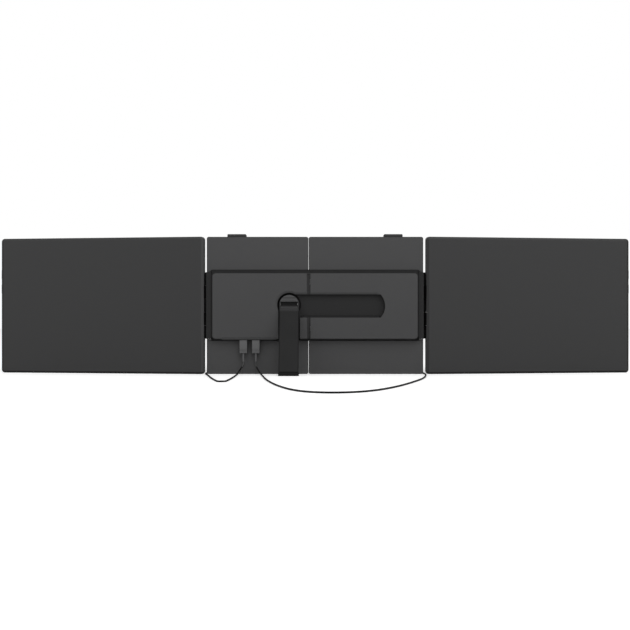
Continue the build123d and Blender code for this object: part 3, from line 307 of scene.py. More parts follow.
class Finish(Graph):
    """A material with one main shader, made from the object's own coordinates."""

    def __init__(self, name):
        self.material = bpy.data.materials.new(name)
        self.material.use_nodes = True
        super().__init__(self.material.node_tree)
        self.place = self.node("ShaderNodeTexCoord", out="Object")

    def mapped(self, kind, **sockets):
        """The object's coordinates, moved, turned or stretched."""
        sockets["Vector"] = self.place
        return self.node("ShaderNodeMapping", {"vector_type": kind}, sockets)

    def noise(self, size, detail=2.0, vector=None):
        """Soft noise about 0.5 whose grains have a size in metres."""
        return self.node(
            "ShaderNodeTexNoise",
            None,
            {"Vector": vector or self.place, "Scale": 1 / size, "Detail": detail},
        )

    def cells(self, size):
        """Distance to the nearest of many small random points, a grain size apart."""
        sockets = {"Vector": self.place, "Scale": 1 / size}
        return self.node("ShaderNodeTexVoronoi", None, sockets)

    def blend(self, factor, low, high):
        """A colour between two colours."""
        mixed = self.node("ShaderNodeMix", {"data_type": "RGBA"}, {"Factor": factor})
        node = mixed.socket.node
        self.feed(node.inputs[6], low)
        self.feed(node.inputs[7], high)
        return Value(self, node.outputs[2])

    def tint(self, colour, amount):
        """A colour made lighter or darker by an amount about 1."""
        return self.node(
            "ShaderNodeVectorMath",
            {"operation": "SCALE"},
            {0: tuple(colour)[:3], "Scale": amount},
        )

    def bump(self, height, strength, distance):
        """A normal from a height that varies between 0 and 1."""
        return self.node(
            "ShaderNodeBump",
            None,
            {"Height": height, "Strength": strength, "Distance": distance},
        )

    def moulded(self, colour, size=0.4 * MM):
        """Moulded plastic: its grain, its slightly patchy colour and its normal."""
        grain = self.cells(size)
        patches = self.noise(25 * MM)
        base = self.tint(colour, 0.85 + 0.20 * grain + 0.12 * patches)
        return grain, base, self.bump(grain, 0.18, 0.05 * MM)

    def sprayed(self):
        """Satin paint: its soft clouds and its normal."""
        return self.noise(18 * MM, 3.0), self.bump(self.noise(1.1 * MM), *PEEL)

    def finish(self, colour, roughness, normal, gloss=0.50, metal=0.0):
        """The main shader, and the material itself."""
        sockets = {
            "Base Color": colour,
            "Roughness": roughness,
            "Normal": normal,
            "Specular IOR Level": gloss,
            "Metallic": metal,
        }
        shader = self.node("ShaderNodeBsdfPrincipled", None, sockets)
        self.node("ShaderNodeOutputMaterial", None, {"Surface": shader})
        return self.material


def shade(colour, amount):
    """A colour as four numbers, made lighter or darker."""
    return tuple(part * amount for part in tuple(colour)[:3]) + (1.0,)


def rim(x, z, half, width):
    """1 on the edge of an upright panel, 0 further in than a width."""
    inside = (half[0] - abs(x)).least(half[2] - abs(z))
    return 1 - inside.step(0.0, width)


def middle_of(node):
    """The middle of a CAD node's box."""
    low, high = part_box(node)
    return (low + high) / 2


def on_panel(finish, node, turn):
    """Coordinates across and up an upright panel from its middle, and its half sizes."""
    along = Vector((cos(turn), sin(turn), 0))
    across = Vector((-sin(turn), cos(turn), 0))
    centre, half = Vector(), []
    for axis in (along, across, Vector((0, 0, 1))):
        reach = [corner.co.dot(axis) for corner in frame["nodes"][node].data.vertices]
        low, high = min(reach), max(reach)
        centre += axis * ((low + high) / 2)
        half.append((high - low) / 2)
    x, _, z = finish.xyz(finish.mapped("TEXTURE", Location=centre, Rotation=(0, 0, turn)))
    return x, z, half


def toe_in(side):
    """How far a screen is turned in at rest."""
    joint = next(j for j in frame["joints"] if j["name"] == f"{side}_screen_hinge")
    return SIDES[side] * radians(-joint["range_deg"][0])


def painted_panel(name, node, colour, turn=0.0, sign=0, inner=1.0):
    """Fine sprayed paint on metal: a soft grain, faint cloudiness and a darker rim that is painted
    shade.

    It is also a little lighter towards the top, which is painted light. A screen also has painted
    shade that turns its outer side and underside black, and on its inner bevel a painted highlight
    (left screen) or a painted shade (right screen).
    """
    finish = Finish(name)
    across, height, half = on_panel(finish, node, turn)
    edge = rim(across, height, half, PANEL_RIM)
    grain = finish.noise(0.35 * MM, 3.0)
    clouds = finish.noise(90 * MM)
    # Painted light: a little lighter towards the top
    level = 0.90 + 0.10 * grain + 0.10 * clouds + (height / half[2]) * 0.025
    # Painted light: a highlight on the left screen's inner bevel, a shade on the right one's
    if sign:
        bevel = 1 - (across * sign).past(-half[0], PANEL_INNER)
        level = level * (1 + bevel * (inner - 1))
    # The darker rim is painted shade along the panel's edges
    base = finish.blend(edge * 0.75, finish.tint(colour, level), shade(colour, 0.30))
    # Painted shade: a screen's outer side and underside turned nearly black
    if sign:
        outer = (across * sign).past(half[0], PANEL_OUTER)
        under = 1 - height.past(-half[2], PANEL_UNDER)
        base = finish.blend(outer.most(under), base, shade(colour, 0.04))
    rough = 0.50 + 0.10 * grain + 0.05 * clouds
    return finish.finish(base, rough, finish.bump(grain, 0.22, 0.05 * MM), 0.35)


def moulded_housing(name, face, slope):
    """Spark-textured plastic, with painted shade that darkens its sloped sides and turns them near
    black at the bottom, painted shade in the groove at the split, and painted light that makes the
    face a little lighter towards the top.
    """
    finish = Finish(name)
    low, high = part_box("left_cover")
    across, depth, height = finish.xyz(finish.place)
    # Painted shade: the sloped sides take the darker slope colour
    top = (-1 * depth).past(-low.y, HOUSING_FACE)
    grain = finish.cells(0.42 * MM)
    patches = finish.noise(60 * MM)
    # Painted light: the face a little lighter towards the top
    fall = (height - low.z) / (high.z - low.z)
    level = 0.86 + 0.12 * grain + 0.08 * patches + 0.06 * fall
    # Painted shadow: the slopes turn near black towards the bottom, under the housing
    sides = finish.tint(slope, 0.05 + 0.95 * height.past(low.z, HOUSING_LOW))
    base = finish.blend(top, sides, finish.tint(face, level))
    # Painted shade in the groove along the split between the covers
    split = (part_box("left_plate")[1].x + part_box("right_plate")[0].x) / 2
    groove = across.near(split, HOUSING_GROOVE)
    base = finish.blend(groove * 0.8, base, shade(face, 0.15))
    normal = finish.bump(grain, 0.20, 0.06 * MM)
    return finish.finish(base, 0.56 + 0.12 * grain, normal, 0.32)


def moulded_plastic(name, colour, roughness, grain_size=0.4 * MM):
    """Moulded plastic with a fine spark texture and slightly polished high spots."""
    finish = Finish(name)
    grain, base, normal = finish.moulded(colour, grain_size)
    handled = finish.noise(7 * MM, 4.0).step(0.52, 0.75)
    rough = roughness + 0.10 * grain - 0.08 * handled
    return finish.finish(base, rough, normal, 0.40)


def plug_plastic(name, colour, half_width, dark):
    """A plug's pale moulded faces. On those in the hub, painted shade makes a nearly black strip
    on each side.
    """
    finish = Finish(name)
    x, depth, _ = finish.xyz(finish.place)
    left, right = (middle_of(f"{side}_hub_plug").x for side in SIDES)
    across = abs(x - left).least(abs(x - right))
    in_hub = (-1 * depth).step(*HUB_PLUGS_BEHIND)
    # Painted shade along each side of the plugs and sleeves in the hub
    strip = across.past(half_width - dark, PLUG_STRIP) * in_hub
    grain, pale, normal = finish.moulded(colour)
    base = finish.blend(strip, pale, shade(colour, 0.04))
    return finish.finish(base, 0.48 + 0.10 * grain, normal, 0.30)


def satin_paint(name, colour, roughness, gloss=0.42):
    """Satin powder paint: an orange-peel surface with rare tiny specks."""
    finish = Finish(name)
    clouds, normal = finish.sprayed()
    specks = 1 - finish.cells(5 * MM).step(0.03, 0.06)
    base = finish.tint(colour, 0.92 + 0.14 * clouds + 0.25 * specks)
    return finish.finish(base, roughness + 0.12 * clouds, normal, gloss)


def leg_paint(name, colour, bar):
    """The leg's satin paint, with painted light that makes a paler bar across its upper end, a
    painted highlight along the bar's top edge, and painted shade that makes the tongue above it
    black.
    """
    finish = Finish(name)
    _, _, height = finish.xyz(finish.place)
    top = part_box("kickstand_leg")[1].z
    clouds, normal = finish.sprayed()
    level = 0.92 + 0.14 * clouds
    base = finish.tint(colour, level)
    # Painted light on the bar, a painted highlight along its top edge and painted shade on the
    # tongue
    tones = (finish.tint(bar, level), finish.tint(bar, level * 1.7), shade(colour, 0.15))
    for reach, tone in zip((LEG_BAR, LEG_EDGE, LEG_TONGUE), tones):
        base = finish.blend(height.past(top, reach), base, tone)
    return finish.finish(base, 0.46 + 0.12 * clouds, normal, 0.13)


def cap_paint(name, colour):
    """The cap's pale, speckled paint, with painted shade in a dark line along its slot."""
    finish = Finish(name)
    across, _, height = finish.xyz(finish.place)
    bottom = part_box("turntable_cap")[0].z
    specks = finish.noise(1.6 * MM, 3.0)
    # Painted shade in the slot
    line = height.near(bottom + CAP_SLOT_RISE, CAP_SLOT_LINE)
    slot = line * across.near(middle_of("turntable_cap").x, CAP_SLOT_END)
    pale = finish.tint(colour, 0.80 + 0.40 * specks)
    base = finish.blend(slot * 0.8, pale, shade(colour, 0.15))
    return finish.finish(base, 0.42 + 0.12 * specks, finish.bump(specks, *PEEL), 0.36)


def tray_plastic(name, colour):
    """The recess's lining: dull moulded plastic, with painted shade that makes it black in the
    round well.
    """
    finish = Finish(name)
    across, _, height = finish.xyz(finish.place)
    low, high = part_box("turntable_disc")
    radius = (high.x - low.x) / 2
    from_x = across - middle_of("turntable_disc").x
    from_z = height - (high.z - radius)
    distance = (from_x**2 + from_z**2) ** 0.5
    # Painted shade in the round well
    well = 1 - distance.past(radius, WELL_WALL)
    grain, lining, normal = finish.moulded(colour)
    base = finish.blend(well, lining, shade(colour, 0.05))
    rough = 0.60 + 0.10 * grain + 0.25 * well
    return finish.finish(base, rough, normal, 0.25)


def brushed_steel(name, along):
    """Bare steel with fine brush lines along one direction and a few longer scratches."""
    finish = Finish(name)
    scale = [1.0 if axis == along else 60.0 for axis in "XYZ"]
    lines = finish.noise(7 * MM, 3.0, finish.mapped("POINT", Scale=scale))
    stains = finish.noise(12 * MM, 3.0)
    tone = finish.blend(lines.step(0.25, 0.75), (0.42, 0.42, 0.43, 1), (0.62, 0.62, 0.63, 1))
    rough = 0.24 + 0.14 * lines + 0.08 * stains
    return finish.finish(tone, rough, finish.bump(lines, 0.12, 0.03 * MM), metal=1.0)


def soft_rubber(name, colour):
    """Dull rubber with a powdery surface and dust in its low spots."""
    finish = Finish(name)
    powder = finish.noise(0.5 * MM, 4.0)
    dust = finish.noise(6 * MM, 5.0).step(0.50, 0.80)
    clean = finish.tint(colour, 0.8 + 0.4 * powder)
    base = finish.blend(dust * 0.25, clean, shade(colour, 2.6))
    normal = finish.bump(powder, 0.30, 0.06 * MM)
    return finish.finish(base, 0.78 + 0.12 * powder, normal, 0.15)


def display_glass(name, node, colour, turn):
    """A display that is switched off: a faint pixel grid inside a solid black border."""
    finish = Finish(name)
    x, z, half = on_panel(finish, node, turn)
    pixel = 0.30 * MM
    border = rim(x, z, half, DISPLAY_BORDER).step(0.02, 0.10)
    columns = abs((x / (pixel / 3)).fract() - 0.5)
    rows = abs((z / pixel).fract() - 0.5)
    grid = columns.most(rows).step(0.36, 0.48)
    glare = finish.noise(0.12 * MM)
    base = finish.blend(border, finish.tint(colour, 1.5 - 0.7 * grid), shade(colour, 0.5))
    return finish.finish(base, 0.16 + 0.08 * glare, finish.bump(glare, 0.05, 0.02 * MM))


def light_guide(name):
    """The white light guide with its fine grid of dots."""
    finish = Finish(name)
    dots = 1 - finish.cells(1.4 * MM).step(0.15, 0.22)
    yellowing = finish.noise(40 * MM)
    mark = yellowing * 0.3 + dots * 0.4
    base = finish.blend(mark, (0.72, 0.73, 0.74, 1), (0.86, 0.86, 0.84, 1))
    return finish.finish(base, 0.35 + 0.15 * dots, finish.bump(dots, 0.10, 0.05 * MM))


def circuit_board(name):
    """Green solder mask with copper tracks under it and tinned pads."""
    finish = Finish(name)
    tracks = finish.node(
        "ShaderNodeTexVoronoi",
        {"distance": "CHEBYCHEV", "feature": "DISTANCE_TO_EDGE"},
        {"Vector": finish.place, "Scale": 1 / (3.2 * MM)},
    )
    track = 1 - tracks.step(0.05, 0.09)
    pads = 1 - finish.cells(4.1 * MM).step(0.16, 0.20)
    mask = finish.blend(track, (0.010, 0.055, 0.026, 1), (0.018, 0.100, 0.040, 1))
    base = finish.blend(pads, mask, (0.55, 0.55, 0.52, 1))
    normal = finish.bump(track + pads, 0.25, 0.04 * MM)
    return finish.finish(base, 0.38 - 0.10 * track, normal, metal=pads)


def cable_jacket(name, colour):
    """A cable's smooth matt jacket: marks from its extrusion, and a painted highlight, a pale line
    on its front where it hangs above the table.
    """
    finish = Finish(name)
    grain = finish.noise(0.35 * MM, 3.0)
    bands = finish.noise(16 * MM)
    _, _, height = finish.xyz(finish.place)
    _, facing, _ = finish.xyz(finish.node("ShaderNodeNewGeometry", out="Normal"))
    # Painted highlight: a pale line on the front of the cable where it hangs
    line = (-1 * facing).step(0.72, 0.90) * height.step(*CABLE_HANGS)
    jacket = finish.tint(colour, 0.85 + 0.15 * grain + 0.25 * bands)
    base = finish.blend(line, jacket, shade(colour, 14))
    rough = 0.50 + 0.12 * bands + 0.06 * grain
    return finish.finish(base, rough, finish.bump(grain, 0.15, 0.03 * MM), 0.14)


def paint(mesh, material):
    """Give a mesh one material."""
    mesh.materials.clear()
    mesh.materials.append(material)


def dress(material, *nodes):
    """Give CAD nodes a finish."""
    for node in nodes:
        paint(frame["nodes"][node].data, material)


def both(*names):
    """The left and right node of each name."""
    return [f"{side}_{name}" for side in SIDES for name in names]


def linked(name, data):
    """A new object in the scene."""
    piece = bpy.data.objects.new(name, data)
    bpy.context.scene.collection.objects.link(piece)
    return piece


def placed(piece, material, body, replaced=()):
    """Finish a piece: its material, its body and the nodes that it stands for."""
    paint(piece.data, material)
    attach(piece, body)
    if replaced:
        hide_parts(*replaced)
    return piece


def rounded_outline(half_width, half_depth, radius, points=5):
    """Corners of a rounded rectangle, anticlockwise."""
    radius = min(radius, half_width, half_depth)
    outline = []
    for corner, (sx, sy) in enumerate(((1, 1), (-1, 1), (-1, -1), (1, -1))):
        cx, cy = sx * (half_width - radius), sy * (half_depth - radius)
        for step in range(points):
            angle = (corner + step / (points - 1)) * pi / 2
            outline.append((cx + radius * cos(angle), cy + radius * sin(angle)))
    return outline


def quarter(steps):
    """A quarter circle from 0 to 1: how far it has moved in, and how far it has to rise."""
    angles = [i / steps * pi / 2 for i in range(steps + 1)]
    return [(1 - cos(angle), 1 - sin(angle)) for angle in angles]


def cushion(half_width, half_depth, height, corner, soft):
    """Sections of a flat pad with a rounded upper rim."""
    sections = [(0.0, rounded_outline(half_width, half_depth, corner))]
    for inward, below in quarter(3):
        inset = soft * inward
        outline = rounded_outline(half_width - inset, half_depth - inset, corner - inset)
        sections.append((height - soft * below, outline))
    return sections


def bridge(shape, below, above):
    """Join two rings of corners with faces."""
    count = len(below)
    for i in range(count):
        j = (i + 1) % count
        shape.faces.new((below[i], below[j], above[j], above[i]))


def mesh_of(name, shape):
    """A mesh from a shape, welded, with its faces turned outwards."""
    bmesh.ops.remove_doubles(shape, verts=shape.verts, dist=1e-6)
    bmesh.ops.recalc_face_normals(shape, faces=shape.faces)
    mesh = bpy.data.meshes.new(name)
    shape.to_mesh(mesh)
    shape.free()
    return mesh


def smooth(mesh, angle=30.0):
    """Shade smooth, with edges sharper than an angle kept."""
    mesh.shade_smooth()
    mesh.set_sharp_from_angle(angle=radians(angle))


def skin(name, sections, place, angle=30.0):
    """A closed object through sections, each a height and an outline of equal length."""
    shape = bmesh.new()
    rings = []
    for height, outline in sections:
        rings.append([shape.verts.new((x, y, height)) for x, y in outline])
    for below, above in zip(rings, rings[1:]):
        bridge(shape, below, above)
    shape.faces.new(list(reversed(rings[0])))
    shape.faces.new(rings[-1])
    shape.transform(place)
    mesh = mesh_of(name, shape)
    smooth(mesh, angle)
    return linked(name, mesh)


class Growth(Graph):
    """A Geometry Nodes tree that sets copies of a shape in a row, with named sizes."""

    def __init__(self, name, *lengths):
        tree = bpy.data.node_groups.new(name, "GeometryNodeTree")
        super().__init__(tree)
        tree.interface.new_socket("Geometry", in_out="OUTPUT", socket_type="NodeSocketGeometry")
        self.identifiers = {}
        kinds = {"Count": "NodeSocketInt", **dict.fromkeys(lengths, "NodeSocketFloat")}
        for label, kind in kinds.items():
            socket = tree.interface.new_socket(label, in_out="INPUT", socket_type=kind)
            self.identifiers[label] = socket.identifier
        self.start = self.node("NodeGroupInput")

    def size(self, label):
        """A named size of the tree."""
        return self.start.output(label)

    def along(self, axis, label):
        """A vector along an axis, as long as a named size."""
        return self.node("ShaderNodeCombineXYZ", None, {axis: self.size(label)})

    def circle(self, corners, label):
        """A circle whose radius is a named size."""
        return self.node(
            "GeometryNodeCurvePrimitiveCircle",
            None,
            {"Resolution": corners, "Radius": self.size(label)},
        )

    def row(self, axis, shape, material, **scale):
        """Copies of a shape along an axis, made real and given their material, end the tree."""
        line = self.node(
            "GeometryNodeMeshLine",
            {"mode": "OFFSET"},
            {"Count": self.size("Count"), "Offset": self.along(axis, "Pitch")},
        )
        copies = self.node(
            "GeometryNodeInstanceOnPoints", None, {"Points": line, "Instance": shape, **scale}
        )
        real = self.node("GeometryNodeRealizeInstances", None, {"Geometry": copies})
        done = self.node(
            "GeometryNodeSetMaterial", None, {"Geometry": real, "Material": material}
        )
        self.node("NodeGroupOutput", None, {"Geometry": done})

    def grow(self, name, sizes, place):
        """The plain mesh that the tree makes with these sizes, moved to its place."""
        holder = linked(name, bpy.data.meshes.new(name + "_seed"))
        modifier = holder.modifiers.new("Growth", "NODES")
        modifier.node_group = self.tree
        for label, value in sizes.items():
            modifier[self.identifiers[label]] = value
        mesh = evaluated(holder)
        holder.modifiers.clear()
        mesh.transform(place)
        smooth(mesh, 40.0)
        holder.data = mesh
        return holder


def ring_stack(material):
    """Rings on one axis, each a little smaller than the one before."""
    growth = Growth("Ring Stack", "Pitch", "Ring Radius", "Wire Radius", "Taper")
    sweep = {
        "Curve": growth.circle(28, "Ring Radius"),
        "Profile Curve": growth.circle(8, "Wire Radius"),
    }
    ring = growth.node("GeometryNodeCurveToMesh", None, sweep)
    number = growth.node("GeometryNodeInputIndex")
    growth.row("Z", ring, material, Scale=1 - number * growth.size("Taper"))
    return growth


def bar_row(material):
    """Round bars side by side along X, each lying along Z."""
    growth = Growth("Bar Row", "Pitch", "Length", "Bar Radius")
    end = growth.along("Z", "Length")
    sweep = {
        "Curve": growth.node("GeometryNodeCurvePrimitiveLine", None, {"End": end}),
        "Profile Curve": growth.circle(10, "Bar Radius"),
        "Fill Caps": True,
    }
    growth.row("X", growth.node("GeometryNodeCurveToMesh", None, sweep), material)
    return growth


def evaluated(holder):
    """The plain mesh that an object's curve or modifiers make."""
    graph = bpy.context.evaluated_depsgraph_get()
    return bpy.data.meshes.new_from_object(holder.evaluated_get(graph), depsgraph=graph)


def route_curve(name, points, radius):
    """A smooth curve that the given points draw in."""
    curve = bpy.data.curves.new(name, "CURVE")
    curve.dimensions = "3D"
    spline = curve.splines.new("NURBS")
    spline.points.add(len(points) - 1)
    for place, point in zip(spline.points, points):
        place.co = (*point, 1.0)
    spline.order_u = 3
    spline.use_endpoint_u = True
    spline.resolution_u = 10
    curve.bevel_depth = radius
    curve.bevel_resolution = 5
    curve.use_fill_caps = True
    return curve


def route_mesh(name, points, radius):
    """The same route as a plain mesh: a tube, or only its line where the radius is 0."""
    holder = linked(name + "_route", route_curve(name + "_route", points, radius))
    mesh = evaluated(holder)
    bpy.data.objects.remove(holder)
    mesh.name = name
    return mesh


def lying(x, y, z, side):
    """A place whose own Z points to the middle of the object, flat on the table."""
    turn = Matrix(((0, 0, -side), (side, 0, 0), (0, -1, 0))).to_4x4()
    return Matrix.Translation((x, y, z)) @ turn


class MONITOR_OT_stage(bpy.types.Operator):
    """Add the pale floor, the white room, the lamps and the camera"""

    bl_idname = "monitor.stage"
    bl_label = "Stage"

    AIM = (0, 0, 0.1)
    KEY_PLACE, KEY_SIZE = (0.5, -2.4, 2.6), 2.4
    FILL_PLACE, FILL_SIZE = (2.6, -2.2, 0.9), 1.6
    FLOOR_GLOW = 0.40

    def lamp(self, name, place, size, power):
        """A large soft lamp that looks at the object."""
        data = bpy.data.lights.new(name, "AREA")
        data.shape = "DISK"
        data.size = size
        data.energy = power
        lamp = linked(name, data)
        lamp.location = place
        view = Vector(self.AIM) - Vector(place)
        lamp.rotation_euler = view.to_track_quat("-Z", "Y").to_euler()

    def room(self, ambient):
        """A white room to the camera and in reflections, and a plain soft light elsewhere."""
        world = bpy.data.worlds.new("Room")
        world.use_nodes = True
        bpy.context.scene.world = world
        graph = Graph(world.node_tree)
        ray = graph.node("ShaderNodeLightPath", out="Is Camera Ray")
        seen = ray.most(ray.output("Is Glossy Ray")).most(ray.output("Is Transmission Ray"))
        strength = seen * (1 - ambient) + ambient
        white = {"Color": (1, 1, 1, 1), "Strength": strength}
        light = graph.node("ShaderNodeBackground", None, white)
        graph.node("ShaderNodeOutputWorld", None, {"Surface": light})

    def floor(self, size):
        """The pale floor, a little brighter to the camera than its light makes it."""
        half = size / 2
        mesh = bpy.data.meshes.new("floor")
        corners = [(-half, -half, 0), (half, -half, 0), (half, half, 0), (-half, half, 0)]
        mesh.from_pydata(corners, [], [(0, 1, 2, 3)])
        floor = linked("floor", mesh)
        finish = Finish("Pale Floor")
        paper = finish.noise(4 * MM, 4.0)
        colour = finish.tint((0.88, 0.88, 0.88), 0.98 + 0.04 * paper)
        plain = finish.node("ShaderNodeBsdfDiffuse", None, {"Color": colour})
        ray = finish.node("ShaderNodeLightPath", out="Is Camera Ray")
        glow = finish.node("ShaderNodeEmission", None, {"Strength": ray * self.FLOOR_GLOW})
        total = finish.node("ShaderNodeAddShader", None, {0: plain, 1: glow})
        finish.node("ShaderNodeOutputMaterial", None, {"Surface": total})
        mesh.materials.append(finish.material)

    def execute(self, context):
        stage = context.scene.monitor_stage
        self.floor(stage.floor_size)
        self.room(stage.ambient)
        self.lamp("key", self.KEY_PLACE, self.KEY_SIZE, stage.key_power)
        aside, back, up = self.FILL_PLACE
        for side in SIDES.values():
            place = (side * aside, back, up)
            self.lamp(f"fill_{side}", place, self.FILL_SIZE, stage.fill_power)
        data = bpy.data.cameras.new("camera")
        data.sensor_width = SENSOR
        data.lens = PHOTO_FOCAL * SENSOR / PHOTO_SIZE
        data.clip_start = 0.01
        camera = linked("camera", data)
        camera.location = (0, -stage.camera_back, stage.camera_height)
        camera.rotation_euler = (pi / 2, 0, 0)
        context.scene.camera = camera
        context.scene.view_settings.view_transform = "Standard"
        return {"FINISHED"}


class MONITOR_OT_cables(bpy.types.Operator):
    """Lay the two signal cables on the table"""

    bl_idname = "monitor.cables"
    bl_label = "Cables"

    def plug_pieces(self, side):
        """Names of the pieces on the two ends of a cable."""
        return [
            f"{side}_{end}_{part}"
            for end in ("hub", "laptop")
            for part in ("grip", "shell", "sleeve", "rings")
        ]

    def execute(self, context):
        colours, sizes = context.scene.monitor_colours, context.scene.monitor_sizes
        radius = sizes.cable_diameter / 2
        jacket = cable_jacket("Cable Jacket", colours.cable)
        curve = route_curve("short_cable_jacket", SHORT_ROUTE, radius)
        short = linked("short_cable_jacket", curve)
        placed(short, jacket, "frame", ["short_cable"])
        line = route_mesh("long_cable_line", LONG_ROUTE, 0.0)
        tube = route_mesh("long_cable_jacket", LONG_ROUTE, radius)
        smooth(tube, 60.0)
        long = linked("long_cable_jacket", tube)
        paint(tube, jacket)
        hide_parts("long_cable", "long_cable_tail")
        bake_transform(long)
        return {"FINISHED"}


class MONITOR_OT_plugs(bpy.types.Operator):
    """Mould the four plugs with their steel shells and ringed strain reliefs"""

    bl_idname = "monitor.plugs"
    bl_label = "Plugs"

    GRIP = (12.4 * MM, 6.5 * MM, 21.6 * MM)
    GRIP_CORNER = 1.3 * MM
    GRIP_EDGE = 0.45 * MM
    GROOVES = (3.0 * MM, 4.1 * MM, 5.2 * MM)
    GROOVE_DEPTH = 0.22 * MM
    # From a groove's start: where its floor starts and ends, and where it ends
    GROOVE_RISES = (0.12 * MM, 0.45 * MM, 0.57 * MM)
    SHELL = (8.3 * MM, 2.5 * MM, 6.6 * MM)
    SHELL_LIP = 0.15 * MM
    SHELL_WALL = 0.3 * MM
    SHELL_DEPTH = 5.2 * MM
    SLEEVE_RADII = (1.80 * MM, 1.45 * MM)
    RING_RADIUS = 1.68 * MM
    RING_WIRE = 0.30 * MM
    RING_TAPER = 0.035
    # Width of the painted shade on each side of a grip; for a sleeve, its half width and that
    # width
    GRIP_STRIP = 0.8 * MM
    SLEEVE_STRIP = (2.0 * MM, 0.7 * MM)
    # From the object's middle to the back of a free plug's grip
    FREE_GRIP = 0.1025
    # Edges sharper than this angle stay sharp
    SHARP = 38.0

    def grip(self, soft):
        """Sections of a moulded grip, from the cable's end to the socket's."""
        wide, deep, long = self.GRIP[0] / 2, self.GRIP[1] / 2, self.GRIP[2]
        depth, edge = self.GROOVE_DEPTH, self.GRIP_EDGE
        steps = [(soft * rise, soft * inset) for rise, inset in quarter(5)]
        for start in self.GROOVES:
            for rise, inset in zip((0.0, *self.GROOVE_RISES), (0.0, depth, depth, 0.0)):
                steps.append((start + rise, inset))
        steps += [(long - edge * below, edge * inset) for inset, below in quarter(3)]
        return [
            (height, rounded_outline(wide - inset, deep - inset, self.GRIP_CORNER - inset * 0.5))
            for height, inset in steps
        ]

    def shell(self):
        """Sections of the open steel shell, which stands on the grip."""
        wide, deep, top = self.SHELL[0] / 2, self.SHELL[1] / 2, self.GRIP[2] + self.SHELL[2]
        lip, wall = self.SHELL_LIP, self.SHELL_WALL
        steps = [(self.GRIP[2], 0.0), (top - lip, 0.0), (top, lip), (top, wall)]
        steps.append((top - self.SHELL_DEPTH, wall))
        return [
            (height, rounded_outline(wide - inset, deep - inset, deep - inset))
            for height, inset in steps
        ]

    def sleeve(self, length):
        """Sections of the tapered sleeve between the rings, from its free end."""
        thick, thin = self.SLEEVE_RADII
        sections = []
        for i in reversed(range(9)):
            part = i / 8
            radius = thick + (thin - thick) * part
            sections.append((-length * part, rounded_outline(radius, radius, radius, 7)))
        return sections

    def spots(self, side, sign):
        """For each end of a cable: its plug's place, its sleeve's length and its body."""
        middle = middle_of(f"{side}_hub_plug")
        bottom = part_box(f"{side}_hub_plug")[0].z
        in_hub = Matrix.Translation((middle.x, middle.y, bottom))
        hub_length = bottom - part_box(f"{side}_hub_strain_relief")[0].z
        low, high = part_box(f"{side}_laptop_plug")
        start = low.x if sign < 0 else high.x
        free_length = abs(start) - self.FREE_GRIP
        x = start - sign * free_length
        free = lying(x, (low.y + high.y) / 2, self.GRIP[1] / 2, sign)
        return {
            "hub": (in_hub, hub_length, "frame"),
            "laptop": (free, free_length, HALF_OF[side]),
        }

    def execute(self, context):
        colours, sizes = context.scene.monitor_colours, context.scene.monitor_sizes
        grip = plug_plastic("Plug Grip", colours.grip, self.GRIP[0] / 2, self.GRIP_STRIP)
        soft = plug_plastic("Sleeve Plastic", colours.sleeve, *self.SLEEVE_STRIP)
        steel = brushed_steel("Plug Steel", "Z")
        rings = ring_stack(soft)
        for side, sign in SIDES.items():
            for end, (place, length, body) in self.spots(side, sign).items():
                name = f"{side}_{end}"
                relief = [f"{side}_hub_strain_relief"] if end == "hub" else []
                parts = {
                    "grip": (self.grip(sizes.grip_round), grip, "plug_grip", [f"{name}_plug"]),
                    "shell": (self.shell(), steel, "steel", []),
                    "sleeve": (self.sleeve(length), soft, "plug_grip", relief),
                }
                for part, (sections, material, slot, replaced) in parts.items():
                    piece = skin(f"{name}_{part}", sections, place, self.SHARP)
                    placed(piece, material, body, replaced)
                count = sizes.relief_rings
                wire = self.RING_WIRE
                ring_sizes = {
                    "Count": count,
                    "Pitch": (length - 2 * wire) / count,
                    "Ring Radius": self.RING_RADIUS,
                    "Wire Radius": wire,
                    "Taper": self.RING_TAPER,
                }
                back = Matrix.Rotation(pi, 4, "X") @ Matrix.Translation((0, 0, wire))
                piece = rings.grow(f"{name}_rings", ring_sizes, place @ back)
                placed(piece, soft, body)
        return {"FINISHED"}


class MONITOR_OT_screens(bpy.types.Operator):
    """Finish the two screens with their covers, displays, boards and keys"""

    bl_idname = "monitor.screens"
    bl_label = "Screens"

    def execute(self, context):
        colours = context.scene.monitor_colours
        for side in SIDES:
            turn = toe_in(side)
            cover = f"{side}_rear_cover"
            name = f"{side} Screen Back"
            sign, inner = SIDES[side], PAINTED_BEVEL_LIGHT[side]
            dress(painted_panel(name, cover, colours.screen, turn, sign, inner), cover)
            panel = f"{side}_lcd_panel"
            dress(display_glass(f"{side} Display", panel, colours.display, turn), panel)
        fine = 0.3 * MM
        dress(moulded_plastic("Bezel Plastic", colours.black, 0.50, fine), *both("bezel"))
        keys = moulded_plastic("Key Plastic", shade(colours.black, 1.9), 0.42, fine)
        dress(keys, *both("power_key", "menu_key"))
        dress(light_guide("Light Guide"), *both("backlight"))
        dress(circuit_board("Circuit Board"), *both("driver_board"), "hub_board")
        return {"FINISHED"}


class MONITOR_OT_frame(bpy.types.Operator):
    """Finish the plates, the housing, the rails and the hub"""

    bl_idname = "monitor.frame"
    bl_label = "Frame"

    def execute(self, context):
        colours = context.scene.monitor_colours
        for side in SIDES:
            plate = f"{side}_plate"
            dress(painted_panel(f"{side} Plate Paint", plate, colours.plate), plate)
        dress(moulded_housing("Housing Plastic", colours.housing, colours.slope), *both("cover"))
        dress(tray_plastic("Tray Plastic", colours.tray), "stow_tray")
        dress(moulded_plastic("Black Plastic", colours.black, 0.55), "port_panel")
        ends = ("fixed_rail", "moving_rail")
        rails = [f"{level}_{end}" for level in ("lower", "upper") for end in ends]
        dress(brushed_steel("Rail Steel", "X"), *rails)
        dress(brushed_steel("Screw Steel", "Z"), "hub_ports", *both("cover_screws"))
        return {"FINISHED"}


